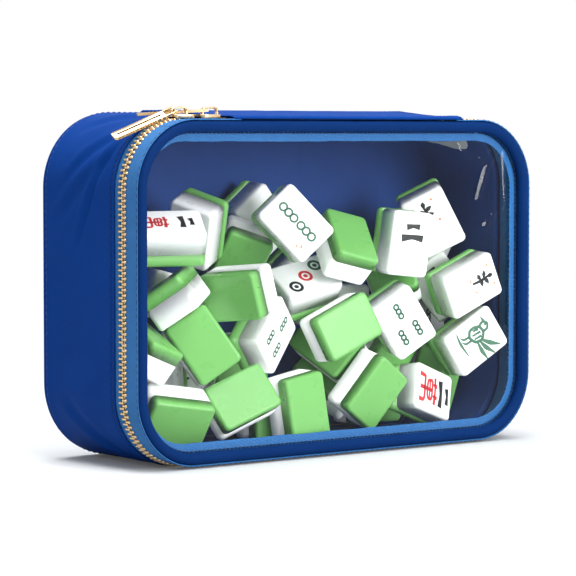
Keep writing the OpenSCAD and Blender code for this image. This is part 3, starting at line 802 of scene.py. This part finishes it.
TUCK = 4.0  # the tapes' ends go this far in under the hinge band
PARK_S = ARC_X + CHAIN_R * math.radians(26)  # the lid's tape stays with the sliders up to here
BAND_LEFT, BAND_RIGHT = -BAND_LO[0], BAND_HI[0]  # from the top's middle to the band's ends
S_START = BAND_LEFT - TUCK
S_END = ZIP_TOTAL - BAND_RIGHT + TUCK


# From either edge of a tape inwards: how far in, and how far below its highest line
TAPE_EDGE = ((0, 0.25), (0.25, 0), (1.0, 0.03), (1.3, 0.16), (1.7, 0.1))


def tape_profile(y0, y1):
    """A flat woven tape from y0 to y1, with a raised edge on both sides."""
    count = max(2, int((y1 - y0 - 3.4) / 0.8))
    upper = [(y0 + y, TAPE_SINK + drop) for y, drop in TAPE_EDGE]
    upper += [(y, TAPE_SINK + 0.1) for y in np.linspace(y0 + 1.9, y1 - 1.9, count)]
    upper += [(y1 - y, TAPE_SINK + drop) for y, drop in reversed(TAPE_EDGE)]
    low = TAPE_SINK + TAPE_T
    lower = [(y1, low - 0.2), (y1 - 0.3, low), (y0 + 0.3, low), (y0, low - 0.2)]
    return upper + lower + upper[:1]


def tape(name, body, replaced, *spans):
    """One zip tape from spans of (s0, s1, y0, y1)."""
    made = []
    for k, (s0, s1, y0, y1) in enumerate(spans):
        rows, stations = strip(s0, s1, tape_profile(y0, y1))
        out = rows - np.array([0, 0, MID_H])
        out[..., 1] = 0
        out /= np.linalg.norm(out, axis=-1, keepdims=True)
        rows += out * (0.06 * ripple(rows, 6, 61 + k))[..., None]
        made.append(surface(f"{name}_{k}", rows, u=stations, closed=False))
    piece = made[0]
    if len(made) > 1:
        with bpy.context.temp_override(active_object=piece, selected_editable_objects=made, object=piece):
            bpy.ops.object.join()
    piece.name = name
    dress(piece, TWILL, body, replaced)


TAPE_BITE = 1.5  # the edge of a tape runs this far in between the jaws of its teeth


def tapes():
    parked_y0, parked_y1 = PARKED_LO[1], PARKED_HI[1] + TAPE_BITE
    lid_y0, lid_y1 = LID_TAPE_LO[1], LID_TAPE_HI[1] + TAPE_BITE
    tape("lid_zip_tape", "lid", "lid_tape",
         (S_START, PARK_S, lid_y0, parked_y0 - 0.3), (PARK_S + 0.3, S_END, lid_y0, lid_y1))
    tape("parked_zip_tape", "case", "parked_tape", (S_START, PARK_S, parked_y0, parked_y1))
    tape("case_zip_tape", "case", "case_tape",
         (S_START, S_END, CASE_TAPE_LO[1] - TAPE_BITE, CASE_TAPE_HI[1]))


TOOTH_PITCH = 2.6
TOOTH_W = 1.15
CHAIN_EDGE = 3.1  # from the middle of the chain to the teeth's outer ends
SLIDER_GAP = 15.5  # from one slider to the other, where no teeth are made
# Half width and half height of a tooth at points across the chain, from its outer end to its head
TOOTH_SHAPE = (
    (CHAIN_EDGE, 0.40, 0.62), (CHAIN_EDGE - 0.15, 0.55, 0.92), (CHAIN_EDGE - 1.2, 0.575, 1.02),
    (1.3, 0.44, 0.93), (0.85, 0.5, 0.96), (0.35, 0.575, 1.0), (-0.1, 0.56, 0.92), (-0.35, 0.42, 0.7),
    (-0.45, 0.2, 0.35),
)
TOOTH_SWELL = (1.12, 1.05)  # how much bigger than that the teeth show
TOOTH_OUTLINE = (
    (1, 0.45), (0.6, 0.92), (-0.6, 0.92), (-1, 0.45), (-1, -0.45), (-0.6, -0.92), (0.6, -0.92), (1, -0.45),
)


def tooth():
    """One tooth: x along the zip, y across it and z out of the tape."""
    verts = []
    for y, w, h in TOOTH_SHAPE:
        w, h = w * TOOTH_SWELL[0], h * TOOTH_SWELL[1]
        verts += [(x * w, y, z * h) for x, z in TOOTH_OUTLINE]
    sides = len(TOOTH_OUTLINE)
    faces = tube_faces(len(TOOTH_SHAPE), sides)
    faces.append(list(range(sides))[::-1])
    faces.append([len(verts) - sides + k for k in range(sides)])
    return np.array(verts), faces


def on_zip(s):
    """Axes and place on the zip's line: x back along it, y as the case's, z outwards."""
    (x, z), (nx, nz) = along(s)
    out = np.array((nx, 0, nz))
    way = np.array((nz, 0, -nx))
    return np.stack([way, np.array((0, 1, 0)), out], axis=1), np.array((x, ZIP_Y, z))


def teeth(name, side, s_from, s_to, body, node):
    """The teeth of one tape, on side 1 or -1 of the chain, apart from those behind the sliders."""
    shape, faces = tooth()
    shape = shape * np.array((1, side, 1))
    faces = faces if side > 0 else [f[::-1] for f in faces]
    left_s = ARC_X - BAND_LEFT
    right_s = left_s - SLIDER_GAP
    parts = []
    s = TOOTH_W + (TOOTH_PITCH / 2 if side < 0 else 0)
    while s <= ZIP_TOTAL - BAND_LEFT - BAND_RIGHT:
        hidden = right_s - TOOTH_W <= s <= left_s + TOOTH_W
        if not hidden and s_from <= s + BAND_LEFT < s_to:
            axes, place = on_zip(s + BAND_LEFT)
            parts.append((shape @ axes.T + place, faces))
        s += TOOTH_PITCH
    dress(join(name, parts), GOLD, body, node)


def zip_teeth():
    teeth("case_zip_teeth", 1, 0, ZIP_TOTAL, "case", "case_teeth")
    teeth("lid_zip_teeth", -1, PARK_S, ZIP_TOTAL, "lid", "lid_teeth")
    teeth("parked_zip_teeth", -1, 0, PARK_S, "case", "parked_teeth")


PIN_LEFT = Vector((-95.15, -28.0, 169.6))  # middle of the left pull's pin
PIN_WAY = Vector((math.sin(math.radians(15)), math.cos(math.radians(15)), 0))
PULL_LEAN, PULL_LIFT = -27, 2.5  # degrees about the pull's length and about its pin


def leaning_pull():
    """The left pull, which hangs loose on its arch with its flat side turned to the viewer."""
    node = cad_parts["pull_left"]
    co = np.array([v.co for v in node.data.vertices]) / MM
    tip = Vector(co[np.argmax(np.linalg.norm(co - np.array(PIN_LEFT), axis=1))])
    long = (tip - PIN_LEFT).normalized()
    long = (long - PIN_WAY * (long @ PIN_WAY)).normalized()
    lean = Matrix.Rotation(math.radians(PULL_LEAN), 4, long)
    lift = Matrix.Rotation(math.radians(PULL_LIFT), 4, PIN_WAY)
    to_pin = Matrix.Translation(PIN_LEFT * MM)
    piece = bpy.data.objects.new("pull_left_bar", node.data.copy())
    piece.data.transform(to_pin @ lift @ lean @ to_pin.inverted())
    bpy.context.scene.collection.objects.link(piece)
    return dress(piece, GOLD, "pull_left", "pull_left")


# How much the edges of the CAD's metal nodes are rounded off
ROUNDING = {
    "slider_left": 0.32, "slider_right": 0.32, "pull_right": 0.3, "case_end_stops": 0.2, "lid_end_stop": 0.2,
}
LEFT_PULL_ROUNDING = 0.3
SHARP_ANGLE = math.radians(35)


def metal_pieces():
    """The sliders, the right pull and the stops keep their CAD shapes, with their edges rounded off."""
    pieces = [(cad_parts[name], width) for name, width in ROUNDING.items()]
    for piece, width in pieces + [(leaning_pull(), LEFT_PULL_ROUNDING)]:
        paint(piece, GOLD)
        weld = piece.modifiers.new("weld", "WELD")
        weld.merge_threshold = 0.002 * MM
        edges = piece.modifiers.new("rounded", "BEVEL")
        edges.width = width * MM
        edges.segments = 3
        edges.limit_method = "ANGLE"
        edges.angle_limit = SHARP_ANGLE
        edges.harden_normals = True
        piece.data.polygons.foreach_set("use_smooth", [True] * len(piece.data.polygons))


# ---- The tiles ----

TILE = (24.0, 33.0, 18.5)  # width, length and thickness
TILE_R = 2.6  # radius of the upright edges
TILE_RIM_R = 1.7  # radius of the edges round both faces
TILE_BACK_T = 6.8
TILE_SPLIT = TILE_BACK_T - TILE[2] / 2  # height of the joint between green and white
JOINT_GAP = 0.05
FLAT = 1e-4


def on_rim(edge):
    """Whether an edge goes round one of the two faces of the block."""
    a, b = edge.verts[0].co.z, edge.verts[1].co.z
    level = abs(abs(a) - TILE[2] / 2) < FLAT and abs(a - b) < FLAT
    return level and len(edge.link_faces) == 2 and any(abs(f.normal.z) < 0.1 for f in edge.link_faces)


def tile_halves():
    """The white and the green part of a tile: x across, y along and z out of the white face."""
    solid = bmesh.new()
    bmesh.ops.create_cube(solid, size=1)
    bmesh.ops.scale(solid, vec=TILE, verts=solid.verts)
    upright = [e for e in solid.edges if abs((e.verts[0].co - e.verts[1].co).z) > 1]
    bmesh.ops.bevel(solid, geom=upright, offset=TILE_R, segments=5, affect="EDGES", profile=0.5)
    rims = [e for e in solid.edges if on_rim(e)]
    bmesh.ops.bevel(solid, geom=rims, offset=TILE_RIM_R, segments=4, affect="EDGES", profile=0.5)
    halves = []
    for white in (True, False):
        half = solid.copy()
        cut = TILE_SPLIT + (JOINT_GAP if white else 0)
        whole = half.verts[:] + half.edges[:] + half.faces[:]
        result = bmesh.ops.bisect_plane(half, geom=whole, plane_co=(0, 0, cut), plane_no=(0, 0, 1),
                                        clear_inner=white, clear_outer=not white)
        rim = [e for e in result["geom_cut"] if isinstance(e, bmesh.types.BMEdge)]
        bmesh.ops.holes_fill(half, edges=rim)
        bmesh.ops.recalc_face_normals(half, faces=half.faces)
        half.verts.ensure_lookup_table()
        faces = [[v.index for v in f.verts] for f in half.faces]
        halves.append((np.array([v.co for v in half.verts]), faces))
        half.free()
    solid.free()
    return halves


FEWEST_POINTS = 8  # a solid of a tile has more corner points than this


def islands(node):
    """Corner points of each separate solid of a CAD node, in mm."""
    mesh = bmesh.new()
    mesh.from_mesh(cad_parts[node].data)
    bmesh.ops.remove_doubles(mesh, verts=mesh.verts, dist=1e-6)
    left, found = set(mesh.verts), []
    while left:
        stack, group = [left.pop()], []
        while stack:
            v = stack.pop()
            group.append(v)
            for e in v.link_edges:
                w = e.other_vert(v)
                if w in left:
                    left.remove(w)
                    stack.append(w)
        if len(group) > FEWEST_POINTS:
            found.append(np.array([v.co for v in group]) / MM)
    mesh.free()
    return found


def tile_frames(suit):
    """Middle of each whole tile and its directions across, along and out of its white face."""
    back_middles = [co.mean(0) for co in islands(f"tile_backs_{suit}")]
    frames = []
    for co in islands(f"tile_faces_{suit}"):
        middle = co.mean(0)
        axes = np.linalg.eigh(np.cov((co - middle).T))[1].T  # through its thickness, width and length
        reaches = [(co - middle) @ axis for axis in axes]
        middle = middle + sum(axis * (d.max() + d.min()) / 2 for axis, d in zip(axes, reaches))
        thick, long = axes[0], axes[2]
        towards = min(back_middles, key=lambda b: np.linalg.norm(b - middle)) - middle
        out = thick if towards @ thick < 0 else -thick
        if long[2] < 0:
            long = -long
        centre = middle - out * (TILE[2] / 2 - np.ptp(reaches[0]) / 2)
        frames.append((centre, np.cross(long, out), long, out))
    return frames


# ---- The marks on the tiles, drawn in the plane of a face ----

INK_T = 0.05  # the marks stand this far out of the face
INK_SPREAD = 1.45  # the marks' lines are this much bolder than their drawing
STICK_LINE = 0.72  # width of the line round a knot of bamboo


def stroke(points, widths):
    """A brush stroke through points, with a width at each of them."""
    points, widths = np.array(points, float), np.array(widths, float)
    t = np.linspace(0, len(points) - 1, 4 * len(points))
    k = np.arange(len(points))
    line = np.stack([np.interp(t, k, points[:, 0]), np.interp(t, k, points[:, 1])], axis=1)
    for _ in range(2):
        line[1:-1] = (line[:-2] + 2 * line[1:-1] + line[2:]) / 4
    w = np.interp(t, k, widths) * INK_SPREAD
    way = np.gradient(line, axis=0)
    side = np.stack([-way[:, 1], way[:, 0]], axis=1) / np.linalg.norm(way, axis=1)[:, None]
    left, right = line + side * w[:, None] / 2, line - side * w[:, None] / 2
    count = len(line)
    verts = [(x, y, INK_T) for x, y in np.concatenate([left, right])]
    faces = [[k, k + 1, k + 1 + count, k + count] for k in range(count - 1)]
    return verts, faces


def drawing(strokes, x, y, scale=1.0):
    """Strokes of a table below, moved to x and y."""
    return [stroke([(x + a * scale, y + b * scale) for a, b in points], [w * scale for w in widths])
            for points, widths in strokes]


def oval(x, y, rx, ry, width, corners):
    """A closed oval line."""
    turns = np.linspace(0, 2 * math.pi, corners + 1)
    return stroke([(x + rx * math.cos(a), y + ry * math.sin(a)) for a in turns], [width] * len(turns))


def blob(x, y, rx, ry, turn=0.0, sides=14):
    """A filled oval, turned by an angle in degrees."""
    c, s = math.cos(math.radians(turn)), math.sin(math.radians(turn))
    outline = []
    for a in np.arange(sides) * 2 * math.pi / sides:
        along_x, along_y = rx * math.cos(a), ry * math.sin(a)
        outline.append((x + along_x * c - along_y * s, y + along_x * s + along_y * c))
    verts = [(u, v, z) for z in (INK_T, -INK_T) for u, v in outline]
    faces = [list(range(sides))]
    faces += [[k, k + sides, (k + 1) % sides + sides, (k + 1) % sides] for k in range(sides)]
    return verts, faces


def bamboo(x, y, length, width):
    """A stick in outline, of three ovals above each other."""
    return [oval(x, y + k * length / 3, width / 2, length / 6, STICK_LINE, 20) for k in (-1, 0, 1)]


# Each stroke is its points and its width at each of them
BIRD = [  # body, head, beak, three tail feathers, three wing feathers, two legs, ground and eye
    ([(-4.5, 1), (-3.5, 4.2), (-0.5, 4.8), (1.8, 2.6), (1.2, -0.8), (-1.8, -2.4), (-4.2, -1), (-4.5, 1)],
     [0.9] * 8),
    ([(-3.4, 4), (-4.4, 6.6), (-2.4, 8.2), (-0.6, 6.8), (-0.8, 4.6)], [0.8] * 5),
    ([(-4.2, 7), (-6.4, 6.6)], [0.9, 0.3]),
    ([(1.6, 2.2), (4.6, 4.6), (8, 8.6)], [0.6, 1.5, 0.4]),
    ([(1.8, 1.2), (5.4, 2.2), (9.4, 4.6)], [0.6, 1.5, 0.4]),
    ([(1.6, 0), (5.6, -0.2), (9.6, 0.4)], [0.6, 1.4, 0.4]),
    ([(-3.4, 0.4), (-2.8, 3.2)], [0.5, 0.8]),
    ([(-1.9, -0.8), (-1.4, 3.6)], [0.5, 0.8]),
    ([(-0.2, -0.6), (0.2, 3.0)], [0.5, 0.8]),
    ([(-2.4, -2.2), (-2.8, -5), (-4.4, -6)], [0.7, 0.7, 0.3]),
    ([(-0.6, -2), (-0.8, -5), (-2.4, -6.2)], [0.7, 0.7, 0.3]),
    ([(-6.5, -6.6), (-2, -7.2), (4, -6.4)], [0.4, 0.9, 0.3]),
]
BIRD_EYE = (-2.6, 6.9, 0.5)  # place and radius
TWO = [  # the number two
    ([(-2.6, 1.6), (0, 2.2), (2.7, 2.0)], [1.5, 0.9, 1.4]),
    ([(-4.2, -2.2), (0, -1.5), (4.4, -1.9)], [1.8, 1.1, 1.7]),
]
ORNAMENT = [  # crossed strokes over a small frame
    ([(-5, 4.4), (0, 4.8), (5, 4.4)], [1.0, 0.8, 1.2]),
    ([(-2, 6), (-2.2, 3.4)], [1.1, 0.6]),
    ([(2.2, 6.2), (2, 3.4)], [1.1, 0.6]),
    ([(-3.6, 2.8), (3.6, 2.8), (3.4, -0.4), (-3.4, -0.4), (-3.6, 2.8)], [0.8] * 5),
    ([(-3.4, 1.2), (3.4, 1.2)], [0.7, 0.7]),
    ([(0, 3), (0, -5.2)], [0.9, 1.1]),
    ([(-4.8, -2.2), (4.8, -2.0), (4.6, -5.6)], [0.9, 0.9, 1.2]),
    ([(-4.4, -2.2), (-4.6, -5.8)], [0.9, 1.2]),
]
LEAVES = ((-2.4, 1.6), (2.5, 2.0), (-2.2, -1.2), (2.4, -0.6), (0.4, 4.4))
BUDS = ((-3.6, 3.2), (3.4, 4.0), (-1.2, -4.6), (3.2, -3.4))
PLANT = [([(0, -4), (0.4, 0), (-0.2, 4)], [0.5, 0.8, 0.3])]  # a stem, and its leaves
PLANT += [([(0, b * 0.4), (a / 2, b * 0.8), (a, b)], [0.3, 1.1, 0.2]) for a, b in LEAVES]


def bird(x, y, scale):
    eye_x, eye_y, r = (c * scale for c in BIRD_EYE)
    return [("green", drawing(BIRD, x, y, scale) + [blob(x + eye_x, y + eye_y, r, r)])]


def plant(x, y, scale):
    buds = [blob(x + a * scale, y + b * scale, 0.5 * scale, 0.4 * scale) for a, b in BUDS]
    return [("black", drawing(PLANT, x, y, scale)), ("orange", buds)]


def drawn_marks():
    """What is drawn on each kind of tile, as lists of a colour and its parts."""
    rings = ((-5, 9, "green"), (0, 0, "red"), (5, -9, "black"))
    return {
        "two_sticks": [("green", bamboo(0.6, 6.6, 11.5, 3.8) + bamboo(0.6, -6.2, 11.5, 3.8)),
                       ("orange", [blob(-6.5, -10, 1.2, 0.5, 30), blob(-8, -8, 1.0, 0.4, 70)])],
        "ornament_tile": [("black", drawing(TWO, 0, 8.4, 1.6)), ("red", drawing(ORNAMENT, 0, -6.4, 17 / 12))],
        "bird_tile": bird(-1, 0, 1.3),
        "two_tile": [("black", drawing(TWO, 0, 6, 1.5))],
        "plant_high": plant(-1, 6, 1.6),
        "plant_right": plant(-1, 6, 1.6),
        "bamboo": [("green", bamboo(x, y, 8.4, 2.5)) for x, y in ((0, 7.5), (-4.5, -6), (4.5, -6))],
        "character": [("black", drawing(TWO, 0, 8.2, 1.2)), ("red", drawing(ORNAMENT, 0, -6.8))],
        "dot": [(colour, [oval(x, y, 3.0, 3.0, 1.1, 24), blob(x, y, 1.2, 1.2)]) for x, y, colour in rings],
        "bird": plant(0, 0, 1.5),
    }


def place_marks(parts, tile):
    """Moves marks from a face's own plane onto a tile."""
    centre, across, long, out = tile
    face = centre + out * (TILE[2] / 2)
    moved = []
    for verts, faces in parts:
        v = np.array(verts, float)
        moved.append((face + v[:, :1] * across + v[:, 1:2] * long + v[:, 2:3] * out, faces))
    return moved


# ---- The camera, at the photograph's viewing angle ----

CAMERA_AT = (-849.119, -1067.560, 158.651)
CAMERA_YAW, CAMERA_PITCH = -38.364, 3.271
CAMERA_LENS = 169.109
SENSOR = 36  # width of the camera's sensor
PICTURE = 576  # pixels along each side of the picture


def make_camera():
    data = bpy.data.cameras.new("camera")
    data.lens = CAMERA_LENS
    data.sensor_width = SENSOR
    data.clip_start, data.clip_end = 0.05, 20
    camera = bpy.data.objects.new("camera", data)
    yaw, pitch = math.radians(-CAMERA_YAW), math.radians(CAMERA_PITCH)
    sight = Vector((math.sin(yaw) * math.cos(pitch), math.cos(yaw) * math.cos(pitch), -math.sin(pitch)))
    camera.rotation_mode = "QUATERNION"
    camera.rotation_quaternion = sight.to_track_quat("-Z", "Y")
    camera.location = Vector(CAMERA_AT) * MM
    bpy.context.scene.collection.objects.link(camera)
    bpy.context.scene.camera = camera
    return camera, sight


def in_picture(camera, point):
    """Where a point shows in the picture, in pixels."""
    rotation = camera.rotation_quaternion.to_matrix().transposed()
    local = rotation @ (Vector(point) * MM - camera.location)
    f = CAMERA_LENS / SENSOR * PICTURE
    return PICTURE / 2 + f * local.x / -local.z, PICTURE / 2 - f * local.y / -local.z


# ---- The heap of tiles ----

SUITS = ("bamboo", "character", "dot", "bird")
# Where the marked tiles show in the picture, and the way their tops point there
FEATURED = {
    "two_sticks": ((303, 219), (0.6, -0.8)),
    "ornament_tile": ((443, 391), (1.0, 0.2)),
    "bird_tile": ((494, 345), (0.2, -1.0)),
    "two_tile": ((412, 243), (0.2, -1.0)),
    "plant_high": ((425, 222), (0.3, -1.0)),
    "plant_right": ((482, 282), (0.3, -1.0)),
}
FARTHEST = 60.0  # pixels from there to a tile that may take the mark
EDGE_ON = -0.15  # a face that turns to the camera less than this doesn't show its mark
FACING_BIAS = 1.4  # the smaller, the more a tile that faces the camera is preferred


def tile_pieces():
    """Makes the white and green halves of all tiles, and returns each tile's suit and frame."""
    halves = tile_halves()
    tiles = []
    for suit in SUITS:
        frames = tile_frames(suit)
        for kind, half, look in zip(("faces", "backs"), halves, (WHITE_RESIN, GREEN_RESIN)):
            verts, faces = half
            parts = [(verts @ np.array([across, long, out]) + centre, faces)
                     for centre, across, long, out in frames]
            piece = dress(join(f"{suit}_tile_{kind}", parts), look, "case", f"tile_{kind}_{suit}")
            rounded = piece.modifiers.new("shading", "WEIGHTED_NORMAL")
            rounded.keep_sharp = True
        tiles += [(suit, tile) for tile in frames]
    return tiles


def feature(tiles, camera, sight):
    """Gives the tile nearest to each marked place its mark's name and way up, and lists it first."""
    left, chosen = list(range(len(tiles))), []
    for name, (target, way) in FEATURED.items():
        best, least = None, FARTHEST
        for k in left:
            centre, _, _, out = tiles[k][1]
            facing = Vector(out) @ sight
            if facing > EDGE_ON:
                continue
            u, v = in_picture(camera, centre + out * TILE[2] / 2)
            miss = math.hypot(u - target[0], v - target[1]) * (FACING_BIAS + facing)
            if miss < least:
                best, least = k, miss
        if best is None:
            continue
        left.remove(best)
        centre, across, long, out = tiles[best][1]
        here, there = (in_picture(camera, centre + long * d) for d in (0, 10))
        if (there[0] - here[0]) * way[0] + (there[1] - here[1]) * way[1] < 0:
            long, across = -long, -across
        chosen.append((name, (centre, across, long, out)))
    return chosen + [tiles[k] for k in left]


def mark_pieces(tiles):
    drawn = drawn_marks()
    marks = {colour: [] for colour in INKS}
    for name, tile in tiles:
        for colour, parts in drawn[name]:
            marks[colour] += place_marks(parts, tile)
    for colour, parts in marks.items():
        dress(join(f"tile_marks_{colour}", parts), INKS[colour], "case")


# ---- Floor and light ----


FLOOR_REACH = 8.0  # metres from its middle to its edges
FLOOR_COLOUR = (0.56, 0.58, 0.59, 1)
WHITE_FROM, WHITE_AT = 0.2, 0.55  # metres from the case's middle where the floor fades to plain white
WHITE_LEAST = 0.05  # share of white near the case
WORLD_LEVEL = 0.38  # how strongly the white surroundings light, although they show as full white
LAMPS = (  # name, place and width in metres, and power in watts
    ("key", (-0.1, -1.3, 1.55), 1.0, 23.0),
    ("top", (-0.1, 0.2, 1.7), 1.3, 50.0),
    ("left", (-1.9, 0.0, 1.2), 0.8, 4.0),
    ("low_front", (0.3, -1.8, 0.45), 0.8, 32.0),
)


def seen_or_mirrored(tree):
    """1 where a ray comes from the camera, or from metal or clear vinyl, and 0 where it lights."""
    path = add(tree, "LightPath").outputs
    found = path["Is Camera Ray"]
    for kind in ("Is Glossy Ray", "Is Transmission Ray"):
        found = add(tree, "Math", found, path[kind], operation="MAXIMUM").outputs[0]
    return found


def make_stage():
    """A floor that fades to plain white away from the case, and shows the shadow near it."""
    mesh = bpy.data.meshes.new("floor")
    r = FLOOR_REACH
    mesh.from_pydata([(-r, -r, 0), (r, -r, 0), (r, r, 0), (-r, r, 0)], [], [(0, 1, 2, 3)])
    plane = bpy.data.objects.new("floor", mesh)
    plane.location.z = -0.4 * MM
    bpy.context.scene.collection.objects.link(plane)
    floor = Finish("floor", (255, 255, 255), 0.8, specular=0.1).set(Base_Color=FLOOR_COLOUR)
    glow = floor.node("Emission", Strength=1.0)
    place = floor.node("TexCoord").outputs["Object"]
    distance = floor.node("VectorMath", place, operation="LENGTH").outputs["Value"]
    fade = floor.node("MapRange", distance, WHITE_FROM, WHITE_AT, WHITE_LEAST, 1.0).outputs["Result"]
    share = floor.node("Math", seen_or_mirrored(floor.tree), fade, operation="MULTIPLY")
    floor.show(floor.node("MixShader", share.outputs[0], floor.shader.outputs[0], glow.outputs[0]))
    mesh.materials.append(floor.material)


def make_lights():
    scene = bpy.context.scene
    scene.world = bpy.data.worlds.new("world")
    scene.world.use_nodes = True
    tree = scene.world.node_tree
    back = tree.nodes["Background"].inputs
    level = add(tree, "MapRange", seen_or_mirrored(tree), To_Min=WORLD_LEVEL, To_Max=1.0)
    plug(tree, back["Color"], (1, 1, 1, 1))
    plug(tree, back["Strength"], level.outputs["Result"])
    middle = Vector((0, 0, MID_H * MM))
    for name, place, size, power in LAMPS:
        data = bpy.data.lights.new(name, "AREA")
        data.shape = "SQUARE"
        data.size = size
        data.energy = power
        lamp = bpy.data.objects.new(name, data)
        lamp.location = place
        lamp.rotation_mode = "QUATERNION"
        lamp.rotation_quaternion = (middle - Vector(place)).to_track_quat("-Z", "Y")
        scene.collection.objects.link(lamp)
    scene.view_settings.view_transform = "Standard"


camera, sight = make_camera()
side_fabric()
back_fabric()
foam_pieces()
# The hem's stitches are dark as painted shadow along the hem's folded edge
around_stitches("hem_stitches", HEM_STITCH_Y, 0.4, THREAD_PAINTED_SHADOW, "case",
                length=2.7, gap=0.5, thickness=0.6)
around_stitches("back_stitches", SEAM_Y - 2.2, 0.05, BLUE_THREAD, "case", BACK_CORNER_R, TOP_H)
lining()
hinge_band()
piping()
# A nearly unbroken row of dark stitches: a painted shadow line between the lid's tape and the piping
around_stitches("piping_seam_shadow_line", LID_TAPE_LO[1] + 0.4, TAPE_SINK + 0.18, THREAD_PAINTED_SHADOW, "lid",
                length=3.2, gap=0.1, thickness=0.42)
window()
binding()
tapes()
zip_teeth()
metal_pieces()
mark_pieces(feature(tile_pieces(), camera, sight))
make_stage()
make_lights()
